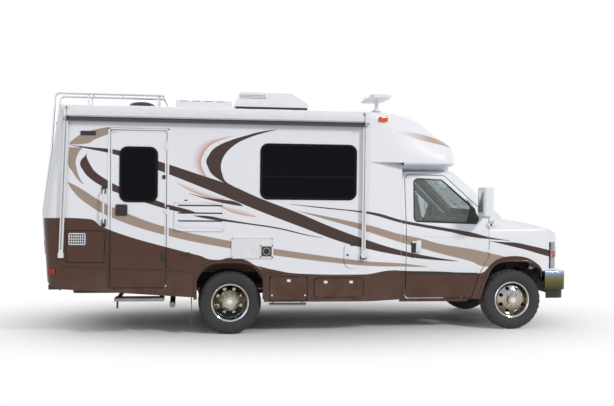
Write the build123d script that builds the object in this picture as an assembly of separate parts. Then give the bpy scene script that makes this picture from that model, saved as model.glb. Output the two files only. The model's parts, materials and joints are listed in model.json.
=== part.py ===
from build123d import *
import math
import os

# Motorhome: a short coach on a van cutaway chassis with twin rear wheels.
# X runs forward, Y to the left, Z up from the road. The origin is the middle of the
# footprint. Sizes are in millimetres.

# Chassis
wheelbase = 3505
front_overhang = 745
rear_overhang = 2240
rear_axle_x = (rear_overhang - front_overhang - wheelbase) / 2
front_axle_x = rear_axle_x + wheelbase
frame_half_width = 432
frame_rail_height = 170
frame_rail_flange = 60
frame_rail_web = 7

# Wheels and tyres
tyre_radius = 368
tyre_width = 223
bead_radius = 203
rim_half_width = 89
rim_wall = 7
front_track = 1763
outer_dual_track = 2032
dual_spacing = 254
kingpin_track = 1470
kingpin_radius = 16
hub_radius = 62

# Coach body
coach_half_width = 1181
wall_thickness = 45
skirt_thickness = 30
coach_rear = 1925
coach_front = 1635
floor_bottom = 680
floor_thickness = 80
wall_top = 2500
roof_shoulder = 2640
roof_crown = 2735
roof_corner_radius = 95
roof_thickness = 55
skirt_line = 715
skirt_line_rise = 85
skirt_bottom = 386
tail_bottom = 545

# Doors and lids
panel_gap = 6
door_gap = 10
pin_radius = 3.5
barrel_radius = 7
pin_clearance = 0.4
knuckle_gap = 0.6
leaf_width = 28
leaf_thickness = 4
seat_gap = 0.3

# Cab
cab_half_width = 1007
cab_panel = 40
fender_panel = 24
glass_thickness = 6
glass_setback = 10

floor_top = floor_bottom + floor_thickness
cab_floor = floor_bottom
wall_inner = coach_half_width - wall_thickness
coach_rear_x = rear_axle_x - coach_rear
coach_front_x = rear_axle_x + coach_front
front_wheel_y = front_track / 2
outer_wheel_y = outer_dual_track / 2
inner_wheel_y = outer_wheel_y - dual_spacing
kingpin_y = kingpin_track / 2


# ---------------------------------------------------------------- helpers

def outline(rows, place):
    """A closed face from rows of (first, second, corner radius)."""
    points = [place(first, second) for first, second, radius in rows]
    radii = [radius for first, second, radius in rows]
    return make_face(FilletPolyline(*points, radius=radii, close=True))


def side_prism(rows, y_low, y_high):
    """Rows of (x, z, radius), extruded from y_low to y_high."""
    face = outline(rows, lambda x, z: (x, y_low, z))
    return extrude(face, amount=y_high - y_low, dir=(0, 1, 0))


def end_prism(rows, x_low, x_high):
    """Rows of (y, z, radius), extruded from x_low to x_high."""
    face = outline(rows, lambda y, z: (x_low, y, z))
    return extrude(face, amount=x_high - x_low, dir=(1, 0, 0))


def plan_prism(rows, z_low, z_high):
    """Rows of (x, y, radius), extruded from z_low to z_high."""
    face = outline(rows, lambda x, y: (x, y, z_low))
    return extrude(face, amount=z_high - z_low, dir=(0, 0, 1))


def block(x_low, x_high, y_low, y_high, z_low, z_high):
    middle = ((x_low + x_high) / 2, (y_low + y_high) / 2, (z_low + z_high) / 2)
    return Pos(*middle) * Box(x_high - x_low, y_high - y_low, z_high - z_low)


def rod(start, end, radius):
    start = Vector(start)
    run = Vector(end) - start
    return Plane(origin=start, z_dir=run) * Cylinder(
        radius, run.length, align=(Align.CENTER, Align.CENTER, Align.MIN))


def tube_along(points, bend_radius, radius):
    path = FilletPolyline(*points, radius=bend_radius)
    start = Plane(origin=path @ 0, z_dir=path % 0)
    return sweep(start * Circle(radius), path=path)


def rectangle_rows(low_a, high_a, low_b, high_b, radius):
    return [(low_a, low_b, radius), (low_a, high_b, radius),
            (high_a, high_b, radius), (high_a, low_b, radius)]


def both_sides(shape):
    return shape + mirror(shape, about=Plane.XZ)


def join(shapes):
    total = shapes[0]
    for shape in shapes[1:]:
        total = total + shape
    return total


def leaf_hinge(centre, to_lid, inward, length, lid_depth, wall_depth):
    """Fixed and moving halves of a hinge: knuckles on a pin, each with a leaf that reaches inward
    to the lid's face or the wall's face."""
    to_lid = Vector(to_lid)
    place = Plane(origin=centre, x_dir=to_lid, z_dir=to_lid.cross(Vector(inward)))
    middle_half = length / 4
    pin = Cylinder(pin_radius, length)
    bore = Cylinder(pin_radius + pin_clearance, length)
    middle = Cylinder(barrel_radius, 2 * middle_half) - bore
    leaf_start = min(lid_depth - leaf_thickness, 0)
    lid_leaf = block(0, leaf_width, leaf_start, lid_depth, -middle_half, middle_half) - bore
    ends = pin
    for side in (-1, 1):
        low, high = sorted((side * (middle_half + knuckle_gap), side * length / 2))
        ends = ends + Pos(0, 0, (low + high) / 2) * Cylinder(barrel_radius, high - low)
        ends = ends + block(-leaf_width, -panel_gap / 2, leaf_start, wall_depth, low, high)
    return place * ends, place * (middle + lid_leaf)


# ---------------------------------------------------------------- coach outer form

def coach_section_rows(inset, z_low):
    half = coach_half_width - inset
    shoulder = roof_shoulder - inset
    return [(-half, z_low, 0), (-half, shoulder, roof_corner_radius - inset / 2),
            (0, roof_crown - inset, 4000), (half, shoulder, roof_corner_radius - inset / 2),
            (half, z_low, 0)]


# The rear cap: a plan outline that leans with the tail, in two runs that meet at the waist.
tail_depth = 255
tail_crown = 40
tail_corner_radius = 170
tail_waist = 1380
tail_lean_top = 190
tail_lean_bottom = 60
cap_thickness = 38


def tail_plan_rows(inset, seam_x):
    half = coach_half_width - inset
    corner_x = coach_rear_x - tail_depth + tail_crown + inset
    middle_x = coach_rear_x - tail_depth + inset
    radius = tail_corner_radius - inset
    return [(seam_x, -half, 0), (corner_x, -half, radius), (middle_x, 0, 2500),
            (corner_x, half, radius), (seam_x, half, 0)]


def leaning_run(rows, height, lean):
    face = outline(rows, lambda x, y: (x, y, tail_waist))
    length = math.hypot(height, lean)
    return extrude(face, amount=length, dir=(lean / length, 0, height / length))


def tail_form(inset, z_low):
    seam_x = coach_rear_x + 400
    up = leaning_run(tail_plan_rows(inset, seam_x), roof_crown + 50 - tail_waist, tail_lean_top)
    down = leaning_run(tail_plan_rows(inset, seam_x), z_low - tail_waist, tail_lean_bottom)
    form = up + down
    form = form & end_prism(coach_section_rows(inset, z_low), coach_rear_x - 600, coach_rear_x)
    return form


# The front cap: over the cab roof, with side panels that run in to the cab behind its doors.
nose_reach = 2950
nose_corner_setback = 210
nose_corner_reach = nose_reach - nose_corner_setback
nose_half_width = 1000
cap_brow = 2660
cap_lip = 2045
panel_reach = 2068
panel_half_width = 1022


def from_rear(distance):
    return rear_axle_x + distance


def front_cap_form(inset):
    half = coach_half_width - inset
    side_rows = [
        (coach_front_x, skirt_bottom, 0), (coach_front_x, roof_crown + 20 - inset, 0),
        (from_rear(1960), cap_brow + 60 - inset, 300),
        (from_rear(2330) - inset / 2, cap_brow - 30 - inset, 500),
        (from_rear(nose_reach) - inset, cap_lip + 130, 130),
        (from_rear(nose_reach - 90) - inset, cap_lip - 60, 30),
        (from_rear(panel_reach), cap_lip - 60, 0), (from_rear(panel_reach), skirt_bottom, 0)]
    plan_rows = [
        (coach_front_x, -half, 0), (from_rear(2000), -half + 40, 400),
        (from_rear(nose_corner_reach) - inset, -nose_half_width + inset, 220),
        (from_rear(nose_reach) - inset, 0, 1800),
        (from_rear(nose_corner_reach) - inset, nose_half_width - inset, 220),
        (from_rear(2000), half - 40, 400),
        (coach_front_x, half, 0)]
    form = side_prism(side_rows, -coach_half_width - 50, coach_half_width + 50)
    form = form & plan_prism(plan_rows, skirt_bottom - 10, roof_crown + 100)
    form = form & end_prism(coach_section_rows(inset, skirt_bottom), coach_front_x,
                            from_rear(nose_reach + 50))
    # Below the lip the sides run in to the cab.
    lower_rows = [
        (coach_front_x, -half, 0), (from_rear(panel_reach), -panel_half_width + inset, 0),
        (from_rear(panel_reach), panel_half_width - inset, 0), (coach_front_x, half, 0)]
    low = plan_prism(lower_rows, skirt_bottom - 10, cap_lip)
    high = block(coach_front_x - 10, from_rear(nose_reach + 60), -coach_half_width - 60,
                 coach_half_width + 60, cap_lip, roof_crown + 200)
    return (form & low) + (form & high)


# ---------------------------------------------------------------- coach openings, all as rows

arch_half_length = 400
arch_top = 857
arch_radius = 330
arch_shift = -8


def arch_rows(grow, z_low):
    low = rear_axle_x + arch_shift - arch_half_length - grow
    high = rear_axle_x + arch_shift + arch_half_length + grow
    top = arch_top + grow
    return [(low, z_low, 0), (low, top, arch_radius + grow), (high, top, arch_radius + grow),
            (high, z_low, 0)]


def box_rows(name_row, grow=0):
    x_low, x_high, z_low, z_high, radius = name_row
    corner = max(radius + grow, 0) if radius else 0
    return rectangle_rows(from_rear(x_low) - grow, from_rear(x_high) + grow, z_low - grow, z_high + grow,
                          corner)


# Columns: back edge and front edge ahead of the rear axle, bottom, top, corner radius
entry_door_row = (-1375, -748, 560, 2360, 30)
door_window_row = (-1275, -848, 1545, 2175, 85)
big_window_row = (335, 1475, 1590, 2240, 85)
left_window_row = (-300, 620, 1590, 2150, 85)
left_rear_window_row = (-1500, -1050, 1750, 2150, 85)
rear_locker_row = (455, 905, 404, 682, 12)
front_locker_row = (985, 1575, 440, 665, 40)
left_locker_row = (985, 1575, 410, 680, 12)
gas_locker_row = (-1860, -1440, 850, 1208, 12)

entry_door_proud = 5
entry_door_thickness = 42
lid_proud = 5
lid_thickness = 28
locker_wall = 10
locker_depth = 560


def skirt_top_at(x):
    back = rear_axle_x + arch_shift - arch_half_length
    share = (back - x) / (back - coach_rear_x)
    return skirt_line + (skirt_line_rise if x < back else 0) * share


def wall_rows():
    return [(coach_rear_x, skirt_top_at(coach_rear_x), 0), (coach_rear_x, wall_top, 0),
            (coach_front_x, wall_top, 0), (coach_front_x, skirt_line, 0),
            (rear_axle_x - arch_half_length, skirt_line, 0)]


def skirt_rows():
    return [(coach_rear_x, tail_bottom, 0), (coach_rear_x, skirt_top_at(coach_rear_x), 0),
            (rear_axle_x - arch_half_length, skirt_line, 0), (coach_front_x, skirt_line, 0),
            (coach_front_x, skirt_bottom, 0), (rear_axle_x, skirt_bottom, 0),
            (rear_axle_x - arch_half_length, skirt_bottom + 56, 0)]


# ---------------------------------------------------------------- coach shell nodes

def side_hinge(x, side, z, to_lid, length, proud):
    """A hinge whose lid lies proud of the coach side by the given amount."""
    lid_depth = barrel_radius + seat_gap
    centre = (x, side * (coach_half_width + proud + lid_depth), z)
    return leaf_hinge(centre, to_lid, (0, -side, 0), length, lid_depth, lid_depth + proud)


def lid(row, side, hinge_edge):
    """A lid in the coach side, hinged along its top, bottom or front edge: lid and fixed knuckles."""
    x_low, x_high, z_low, z_high, radius = row
    outer = side * (coach_half_width + lid_proud)
    inner = side * (coach_half_width + lid_proud - lid_thickness)
    panel = side_prism(box_rows(row), min(outer, inner), max(outer, inner))
    fixed = []
    if hinge_edge == "front":
        spots = [(from_rear(x_high) + panel_gap / 2, z, (-1, 0, 0)) for z in (z_low + 60, z_high - 60)]
    elif hinge_edge == "top":
        spots = [(from_rear(x), z_high + panel_gap / 2, (0, 0, -1)) for x in (x_low + 70, x_high - 70)]
    else:
        spots = [(from_rear(x), z_low - panel_gap / 2, (0, 0, 1)) for x in (x_low + 70, x_high - 70)]
    for x, z, to_lid in spots:
        ends, middle = side_hinge(x, side, z, to_lid, 90, lid_proud)
        panel = panel + middle
        fixed.append(ends)
    return panel, fixed


rear_locker_door, rear_locker_fixed = lid(rear_locker_row, -1, "top")
front_locker_door, front_locker_fixed = lid(front_locker_row, -1, "bottom")
left_locker_door, left_locker_fixed = lid(left_locker_row, 1, "top")
gas_locker_door, gas_locker_fixed = lid(gas_locker_row, -1, "front")


def entry_door_parts():
    x_low, x_high, z_low, z_high, radius = entry_door_row
    outer = -coach_half_width - entry_door_proud
    panel = side_prism(box_rows(entry_door_row), outer, outer + entry_door_thickness)
    panel = panel - side_prism(box_rows(door_window_row), outer - 5, outer + entry_door_thickness + 5)
    fixed = []
    for z in (z_low + 170, (z_low + z_high) / 2, z_high - 170):
        ends, middle = side_hinge(from_rear(x_high) + panel_gap / 2, -1, z, (-1, 0, 0), 110,
                                  entry_door_proud)
        panel = panel + middle
        fixed.append(ends)
    return panel, fixed


entry_door, entry_door_fixed = entry_door_parts()


def coach_wall(side, openings, windows, fixed):
    outer = side * coach_half_width
    inner = side * wall_inner
    low, high = min(outer, inner), max(outer, inner)
    wall = side_prism(wall_rows(), low, high)
    wall = wall - side_prism(arch_rows(0, skirt_line - 400), low - 5, high + 5)
    for row in openings:
        wall = wall - side_prism(box_rows(row, panel_gap), low - 5, high + 5)
    for row in windows:
        wall = wall - side_prism(box_rows(row), low - 5, high + 5)
    return join([wall] + fixed)


def locker_box(row, side):
    """The bin behind a locker door, open at the door."""
    x_low, x_high, z_low, z_high, radius = row
    back = side * (coach_half_width - locker_depth)
    front = side * (coach_half_width - skirt_thickness)
    x0, x1 = from_rear(x_low) - panel_gap - locker_wall, from_rear(x_high) + panel_gap + locker_wall
    z0, z1 = z_low - panel_gap - locker_wall, min(z_high + panel_gap + locker_wall, floor_bottom - seat_gap)
    shell = block(x0, x1, min(back, front), max(back, front), z0, z1)
    # the hollow runs out through the mouth at the skirt
    hollow_y = sorted((front + side, back + side * locker_wall))
    hollow = block(x0 + locker_wall, x1 - locker_wall, hollow_y[0], hollow_y[1],
                   z0 + locker_wall, z1 - locker_wall)
    return shell - hollow


def skirt(side, openings, boxes, fixed):
    outer = side * coach_half_width
    inner = side * (coach_half_width - skirt_thickness)
    low, high = min(outer, inner), max(outer, inner)
    panel = side_prism(skirt_rows(), low, high)
    panel = panel - side_prism(arch_rows(0, skirt_bottom - 100), low - 5, high + 5)
    for row in openings:
        panel = panel - side_prism(box_rows(row, panel_gap), low - 5, high + 5)
    for row in boxes:
        panel = panel + locker_box(row, side)
    return join([panel] + fixed)


well_top = 900
well_half_length = 455
well_inner_y = 600
well_wall = 8
step_well_row = (-1345, -778, 520, 680)
step_well_inner_y = 760
step_well_wall = 12
step_well_floor = 18


def wheel_tub(side, grow):
    """The box over a rear wheel, or the room for it in the floor where grow is given."""
    y = wall_inner - seat_gap
    y_low, y_high = sorted((side * (well_inner_y - well_wall - grow), side * (y + grow)))
    half = well_half_length + well_wall + grow
    tub = block(rear_axle_x - half, rear_axle_x + half, y_low, y_high, floor_bottom - grow, well_top)
    if grow:
        return tub
    y_low, y_high = sorted((side * well_inner_y, side * (y + 5)))
    return tub - block(rear_axle_x - well_half_length, rear_axle_x + well_half_length, y_low, y_high,
                       floor_bottom - 5, well_top - well_wall)


def step_tub(grow):
    """The sunk step behind the entry door, or the room for it in the floor."""
    y = wall_inner - seat_gap
    x_low, x_high, z_low, z_high = step_well_row
    x_low, x_high = from_rear(x_low), from_rear(x_high)
    wall = step_well_wall + grow
    tub = block(x_low - wall, x_high + wall, -y - grow, -step_well_inner_y + grow, z_low, floor_top + grow)
    if grow:
        return tub
    return tub - block(x_low, x_high, -y - 5, -step_well_inner_y - step_well_wall, z_low + step_well_floor,
                       floor_top + 5)


def coach_floor():
    """The floor slab with the wheel boxes and the step let into it."""
    y = wall_inner - seat_gap
    slab = block(coach_rear_x + seat_gap, coach_front_x, -y, y, floor_bottom, floor_top)
    slab = slab - wheel_tub(-1, seat_gap) - wheel_tub(1, seat_gap) - step_tub(seat_gap)
    return join([slab, wheel_tub(-1, 0), wheel_tub(1, 0), step_tub(0)])


def coach_roof():
    outer = end_prism(coach_section_rows(0, wall_top), coach_rear_x, coach_front_x)
    inner = end_prism(coach_section_rows(roof_thickness, wall_top - 10), coach_rear_x - 5, coach_front_x + 5)
    return outer - inner


def roof_skin(lift):
    """Everything under the coach roof's outer face, for seating what stands on it."""
    return end_prism(coach_section_rows(-lift, wall_top - 200), coach_rear_x - 300, coach_front_x + 500)


def rear_cap():
    outer = tail_form(0, tail_bottom - 25)
    inner = tail_form(cap_thickness, tail_bottom - 50)
    shell = outer - (inner & block(coach_rear_x - 600, coach_rear_x + 10, -2000, 2000, 300, 3000))
    tuck_rows = [(coach_rear_x - 400, 300, 0), (coach_rear_x - 400, 700, 0), (from_rear(-2150), 690, 0),
                 (from_rear(-2040), tail_bottom + 35, 60), (coach_rear_x + 5, tail_bottom - 15, 0),
                 (coach_rear_x + 5, 300, 0)]
    return shell - side_prism(tuck_rows, -1500, 1500)


def front_cap():
    outer = front_cap_form(0)
    inner = front_cap_form(cap_thickness)
    inner_low = skirt_bottom - 20
    hollow = inner & block(coach_front_x - 10, from_rear(nose_reach), -2000, 2000, inner_low, 3000)
    # the underside closes on to the cab roof
    soffit = outer & block(from_rear(cab_back) + 30, from_rear(nose_reach), -2000, 2000, cap_lip - 90,
                           cap_lip - 25)
    return (outer - hollow + soffit) - cab_form(-seat_gap, 300)


# ---------------------------------------------------------------- cab

door_back = 2143
door_front = 3184
door_sill = 398
door_belt = 1395
cab_back = 2075
cab_front = 3262
cab_roof = 1990
cab_crown = 2015
screen_top = 2690
screen_foot = 3345
screen_foot_z = 1405
cowl_joint = 1345
fender_back = 2930
wheelhouse_back = 3030
wheelhouse_y = 460
wheelhouse_top = 850
pillar_width = 90


def cab_section_rows(inset, z_low):
    half = cab_half_width - inset
    return [(-half + 47, z_low, 0), (-half + 9, 700, 0), (-half, 1150, 0), (-half + 22, 1330, 0),
            (-half + 150, cab_roof - 45 - inset, 90), (0, cab_crown - inset, 4000),
            (half - 150, cab_roof - 45 - inset, 90), (half - 22, 1330, 0), (half, 1150, 0),
            (half - 9, 700, 0), (half - 47, z_low, 0)]


def cab_side_rows(inset, z_low):
    return [(from_rear(cab_back) - 1, z_low, 0), (from_rear(cab_back) - 1, cab_crown + 30, 0),
            (from_rear(screen_top) - inset, cab_crown - inset, 60),
            (from_rear(screen_foot) - inset * 1.4, screen_foot_z - inset * 0.3, 0),
            (from_rear(screen_foot) - inset * 1.4, z_low, 0)]


def cab_form(inset, z_low):
    form = side_prism(cab_side_rows(inset, z_low), -cab_half_width - 20, cab_half_width + 20)
    return form & end_prism(cab_section_rows(inset, z_low), from_rear(cab_back) - 5,
                            from_rear(screen_foot) + 5)


def cab_door_rows():
    """(x, z, radius) round one cab door."""
    return [(from_rear(door_back), door_sill, 40), (from_rear(door_back), 1905, 70),
            (from_rear(2640), 1895, 60), (from_rear(door_front), door_belt, 12),
            (from_rear(door_front), 905, 60), (from_rear(3062), 690, 60), (from_rear(2975), door_sill, 25)]


cab_window_rows = [(from_rear(2240), 1335, 45), (from_rear(2255), 1862, 60), (from_rear(2610), 1845, 60),
                   (from_rear(3010), 1490, 40), (from_rear(3040), 1312, 30)]


def grown(rows, amount, y_low, y_high):
    face = outline(rows, lambda x, z: (x, y_low, z))
    bigger = offset(face, amount, kind=Kind.INTERSECTION)
    return extrude(bigger, amount=y_high - y_low, dir=(0, 1, 0))


def cab_shell():
    sill_bottom = 352
    outer = cab_form(0, sill_bottom)
    inner = cab_form(cab_panel, sill_bottom - 10)
    shell = outer - inner
    # the back is open to the coach inside a frame of the door pillars and roof
    back_low, back_high = from_rear(cab_back) - 10, from_rear(cab_back) + cab_panel + 20
    way_through = end_prism(cab_section_rows(pillar_width, 300), back_low, back_high)
    shell = shell - (way_through
                     & block(back_low, back_high, -cab_half_width, cab_half_width, floor_top, cab_crown))
    for y_pair in ((-cab_half_width - 60, -500), (500, cab_half_width + 60)):
        shell = shell - grown(cab_door_rows(), door_gap, y_pair[0], y_pair[1])
    screen_rows = [(-800, 1470, 60), (-700, 1900, 60), (700, 1900, 60), (800, 1470, 60)]
    shell = shell - end_prism(screen_rows, from_rear(screen_top) - 10, from_rear(screen_foot) + 50)
    # ahead of the doors only the foot of the screen belongs to the shell
    keep = block(from_rear(cab_back) - 20, from_rear(fender_back) - seat_gap, -1100, 1100, sill_bottom - 20,
                 2100)
    keep = keep + block(from_rear(fender_back) - 2, from_rear(screen_foot) + 60, -1100, 1100, cowl_joint,
                        2100)
    shell = shell & keep
    half = cab_half_width - 60
    floor = block(from_rear(cab_back), from_rear(wheelhouse_back), -half, half, cab_floor, cab_floor + 30)
    floor = floor + block(from_rear(cab_back), from_rear(cab_front), -wheelhouse_y, wheelhouse_y, cab_floor,
                          cab_floor + 30)
    for side in (-1, 1):
        y_low, y_high = sorted((side * (wheelhouse_y - 20), side * half))
        floor = floor + block(from_rear(wheelhouse_back) - 20, from_rear(wheelhouse_back), y_low, y_high,
                              cab_floor, wheelhouse_top)
        floor = floor + block(from_rear(wheelhouse_back) - 20, from_rear(cab_front), y_low, y_high,
                              wheelhouse_top - 20, wheelhouse_top)
        y_low, y_high = sorted((side * (wheelhouse_y - 20), side * wheelhouse_y))
        floor = floor + block(from_rear(wheelhouse_back) - 20, from_rear(cab_front), y_low, y_high,
                              cab_floor, wheelhouse_top)
    floor = floor + block(from_rear(cab_front) - 20, from_rear(cab_front), -half, half, wheelhouse_top - 20,
                          cowl_joint + 20)
    floor = floor + block(from_rear(cab_front) - 20, from_rear(cab_front), -wheelhouse_y, wheelhouse_y,
                          cab_floor,
                          wheelhouse_top)
    floor = floor + both_sides(block(from_rear(cab_back), from_rear(door_back) - door_gap, half - 10,
                                     cab_half_width, cab_floor, cab_floor + 30))
    # the engine reaches in under its cover
    floor = floor - block(from_rear(2805), from_rear(cab_front) + 10, -272, 272, cab_floor - 10, 1048)
    cowl = block(from_rear(cab_front) - 20, from_rear(screen_foot) - 20, -half + 60, half - 60, cowl_joint,
                 cowl_joint + 20)
    # the floor and bulkhead are one pressing, let into the outer shell
    pan = (floor + cowl) & cab_form(cab_panel + seat_gap, sill_bottom)
    return shell + pan


cab_hinge_heights = (980, 1300)


def cab_door(side):
    y_pair = sorted((side * 500, side * (cab_half_width + 60)))
    door = side_prism(cab_door_rows(), y_pair[0], y_pair[1])
    door = door & (cab_form(0, 300) - cab_form(cab_panel, 290))
    door = door - side_prism(cab_window_rows, y_pair[0], y_pair[1])
    return door


def cab_glass(side):
    y_pair = sorted((side * 500, side * (cab_half_width + 60)))
    pane = grown(cab_window_rows, -seat_gap, y_pair[0], y_pair[1])
    return pane & (cab_form(glass_setback, 300) - cab_form(glass_setback + glass_thickness, 290))


# ---------------------------------------------------------------- nose

nose_line = [(3345, 1418, 0), (3500, 1368, 0), (3830, 1300, 900), (4075, 1205, 150), (4150, 1090, 60),
             (4168, 728, 0)]
hood_back = 3500
hood_front = 4090
hood_half_width = 750
hood_edge_z = 1150
fender_arch_rows = [(3070, 250, 0), (3160, 600, 300), (3255, 842, 230), (3830, 842, 190), (3895, 560, 200),
                    (3895, 250, 0)]
headlamp_row = (540, 965, 752, 1085)
grille_row = (0, 525, 775, 1140)
nose_underside = 728
nose_support = 4010
fender_bottom = 380


def nose_form(inset):
    half = cab_half_width - inset
    rows = [(from_rear(fender_back), fender_bottom, 0), (from_rear(fender_back), 1440 - inset, 0)]
    rows = rows + [(from_rear(x) - (inset if x > 4000 else 0), z - inset, radius)
                   for x, z, radius in nose_line]
    rows = rows + [(from_rear(3880), nose_underside, 0), (from_rear(3880), fender_bottom, 0)]
    form = side_prism(rows, -cab_half_width - 20, cab_half_width + 20)
    section = [(-half + 47, fender_bottom - 10, 0), (-half + 9, 700, 0), (-half, 1120, 0),
               (-half + 34, 1270 - inset, 80), (0, 1440 - inset, 3000), (half - 34, 1270 - inset, 80),
               (half, 1120, 0), (half - 9, 700, 0), (half - 47, fender_bottom - 10, 0)]
    form = form & end_prism(section, from_rear(2920), from_rear(4300))
    plan = [(from_rear(2920), -half - 10, 0), (from_rear(3800), -half - 5, 600),
            (from_rear(4115) - inset, -half + 77, 170), (from_rear(4190) - inset, 0, 1500),
            (from_rear(4115) - inset, half - 77, 170), (from_rear(3800), half + 5, 600),
            (from_rear(2920), half + 10, 0)]
    return form & plan_prism(plan, fender_bottom - 20, 1500)


nose_outer = nose_form(0)
nose_shell = nose_outer - nose_form(fender_panel)


def hood_block(grow):
    return block(from_rear(hood_back) - grow, from_rear(hood_front) + grow, -hood_half_width - grow,
                 hood_half_width + grow, hood_edge_z - grow, 1600)


def in_rows(row, side):
    low, high, z_low, z_high = row
    return sorted((side * low, side * high)) + [z_low, z_high]


def front_end():
    shell = nose_shell - hood_block(panel_gap)
    shell = shell - side_prism([(from_rear(x), z, radius) for x, z, radius in fender_arch_rows], -1100, 1100)
    for y_pair in ((-cab_half_width - 60, -500), (500, cab_half_width + 60)):
        shell = shell - grown(cab_door_rows(), door_gap, y_pair[0], y_pair[1])
    behind = block(from_rear(2900), from_rear(door_front) + door_gap, -600, 600, 300, 1600)
    shell = shell - behind
    # the foot of the screen belongs to the cab
    shell = shell - (cab_form(-seat_gap, fender_bottom - 50)
                     & block(from_rear(3000), from_rear(screen_foot) + 30, -1100, 1100,
                             cowl_joint - seat_gap, 1700))
    shell = shell - block(from_rear(3100), from_rear(cab_front) + 5, -960, 960, 1200, 1700)
    for side in (-1, 1):
        y_low, y_high, z_low, z_high = in_rows(headlamp_row, side)
        shell = shell - block(from_rear(3900), from_rear(4300), y_low, y_high, z_low, z_high)
    shell = shell - block(from_rear(3950), from_rear(4300), -grille_row[1], grille_row[1],
                          grille_row[2], grille_row[3])
    support = block(from_rear(nose_support) - 25, from_rear(nose_support), -900, 900, nose_underside, 760)
    support = support + block(from_rear(nose_support) - 25, from_rear(nose_support), -900, 900, 1095, 1140)
    for y in (-533, 533):
        support = support + block(from_rear(nose_support) - 25, from_rear(4120), y - 6, y + 6,
                                  nose_underside, 1140)
    support = support & nose_form(fender_panel / 2)
    return shell + support


def hood():
    return nose_shell & hood_block(0)


def headlamp(side):
    y_low, y_high, z_low, z_high = in_rows(headlamp_row, side)
    body = block(from_rear(nose_support) + seat_gap, from_rear(4300), y_low + 3, y_high - 3, z_low + 3,
                 z_high - 3)
    return body & nose_form(4)


def grille():
    """Dark bars in the nose with a surround."""
    y, z_low, z_high = grille_row[1] - 3, grille_row[2] + 3, grille_row[3] - 3
    x = from_rear(4090)
    surround = (block(x, x + 45, -y, y, z_low, z_high)
                - block(x - 5, x + 50, -y + 28, y - 28, z_low + 28, z_high - 28))
    bar_count = 4
    pitch = (z_high - z_low) / (bar_count + 1)
    for index in range(bar_count):
        z = z_low + pitch * (index + 1)
        surround = surround + block(x + 8, x + 32, -y, y, z - 12, z + 12)
    lug = block(from_rear(nose_support) + seat_gap, x + 8, 290, 320, z_high - 28, z_high - 8)
    return surround + block(x + 8, x + 26, -10, 10, z_low, z_high) + both_sides(lug)


bumper_low = 490
bumper_high = 722
bumper_wrap = 3925
bumper_corner_radius = 150
bumper_sheet = 30
valance_low = 385


def bumper_plan(inset):
    face = rear_axle_x + wheelbase + front_overhang - inset
    half = 985 - inset
    return [(from_rear(bumper_wrap), -half, 0), (face - 18, -half + 6, bumper_corner_radius - inset),
            (face, 0, 0), (face - 18, half - 6, bumper_corner_radius - inset),
            (from_rear(bumper_wrap), half, 0)]


def front_bumper():
    bar = plan_prism(bumper_plan(0), bumper_low, bumper_high)
    bar = bar - plan_prism(bumper_plan(bumper_sheet), bumper_low - 5, bumper_high - 18)
    bar = bar - plan_prism(bumper_plan(110), bumper_low - 5, bumper_high + 5)
    bar = bar + both_sides(block(from_rear(rail_front) + seat_gap, from_rear(4235), frame_half_width - 57,
                                 frame_half_width, 560, 620))
    return bar


def valance():
    bar = plan_prism(bumper_plan(bumper_sheet + seat_gap), valance_low, bumper_low + 40)
    bar = bar - plan_prism(bumper_plan(bumper_sheet + 20), valance_low - 5, bumper_low + 45)
    return bar - block(from_rear(3800), from_rear(3955), -1200, 1200, 300, 600)


# ---------------------------------------------------------------- glass and lamps

def side_pane(row, side):
    outer = side * (coach_half_width + 3)
    inner = side * (coach_half_width - 9)
    return side_prism(box_rows(row, -seat_gap), min(outer, inner), max(outer, inner))


def fixed_glass():
    screen_rows = [(-800 + seat_gap, 1470 + seat_gap, 60), (-700 + seat_gap, 1900 - seat_gap, 60),
                   (700 - seat_gap, 1900 - seat_gap, 60), (800 - seat_gap, 1470 + seat_gap, 60)]
    screen = end_prism(screen_rows, from_rear(screen_top) - 10, from_rear(screen_foot) + 50)
    screen = screen & (cab_form(glass_setback, 352) - cab_form(glass_setback + glass_thickness, 340))
    return (screen + side_pane(big_window_row, -1) + side_pane(left_window_row, 1)
            + side_pane(left_rear_window_row, 1))


def entry_door_glass():
    outer = -coach_half_width - entry_door_proud
    return side_prism(box_rows(door_window_row, -seat_gap), outer - 2, outer + 12)


def tail_lamps():
    x = coach_rear_x - tail_depth + tail_crown
    lamp = block(x - 40, x + 60, 880, 980, 930, 1090)
    lamp = lamp & tail_form(-12, tail_bottom - 25)
    lamp = lamp - tail_form(-seat_gap, tail_bottom - 25)
    return both_sides(lamp)


# ---------------------------------------------------------------- frame and running gear

rail_top = floor_bottom
rail_bottom = rail_top - frame_rail_height
rail_rear = -1990
rail_front = 4080
crossmembers = (-1955, -1150, -560, 620, 1500, 2100, 3820)
crossmember_half = 35
crossmember_drop = 15
crossmember_height = 60

receiver_size = 63.5
receiver_bore = 51.4
receiver_length = 300
receiver_z = 440
receiver_pin_setback = 68
receiver_pin_radius = 8
hitch_bar_row = (-1985, -1925)

step_row = (-1320, -760, 412, 446)
step_outer_y = 1265
step_inner_y = 1040
step_arm_width = 40
step_arm_inset = 20
hanger_thickness = 12


def chassis_frame():
    """Two channel rails, with crossmembers riveted between their webs."""
    inside = frame_half_width - frame_rail_flange
    rail = block(from_rear(rail_rear), from_rear(rail_front), inside, frame_half_width, rail_bottom,
                 rail_top)
    rail = rail - block(from_rear(rail_rear) - 5, from_rear(rail_front) + 5, inside - 5,
                        frame_half_width - frame_rail_web, rail_bottom + frame_rail_web,
                        rail_top - frame_rail_web)
    frame = both_sides(rail)
    reach = frame_half_width - frame_rail_web - seat_gap
    top = rail_top - crossmember_drop
    for distance in crossmembers:
        frame = frame + block(from_rear(distance) - crossmember_half, from_rear(distance) + crossmember_half,
                              -reach, reach, top - crossmember_height, top)
    return frame


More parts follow.
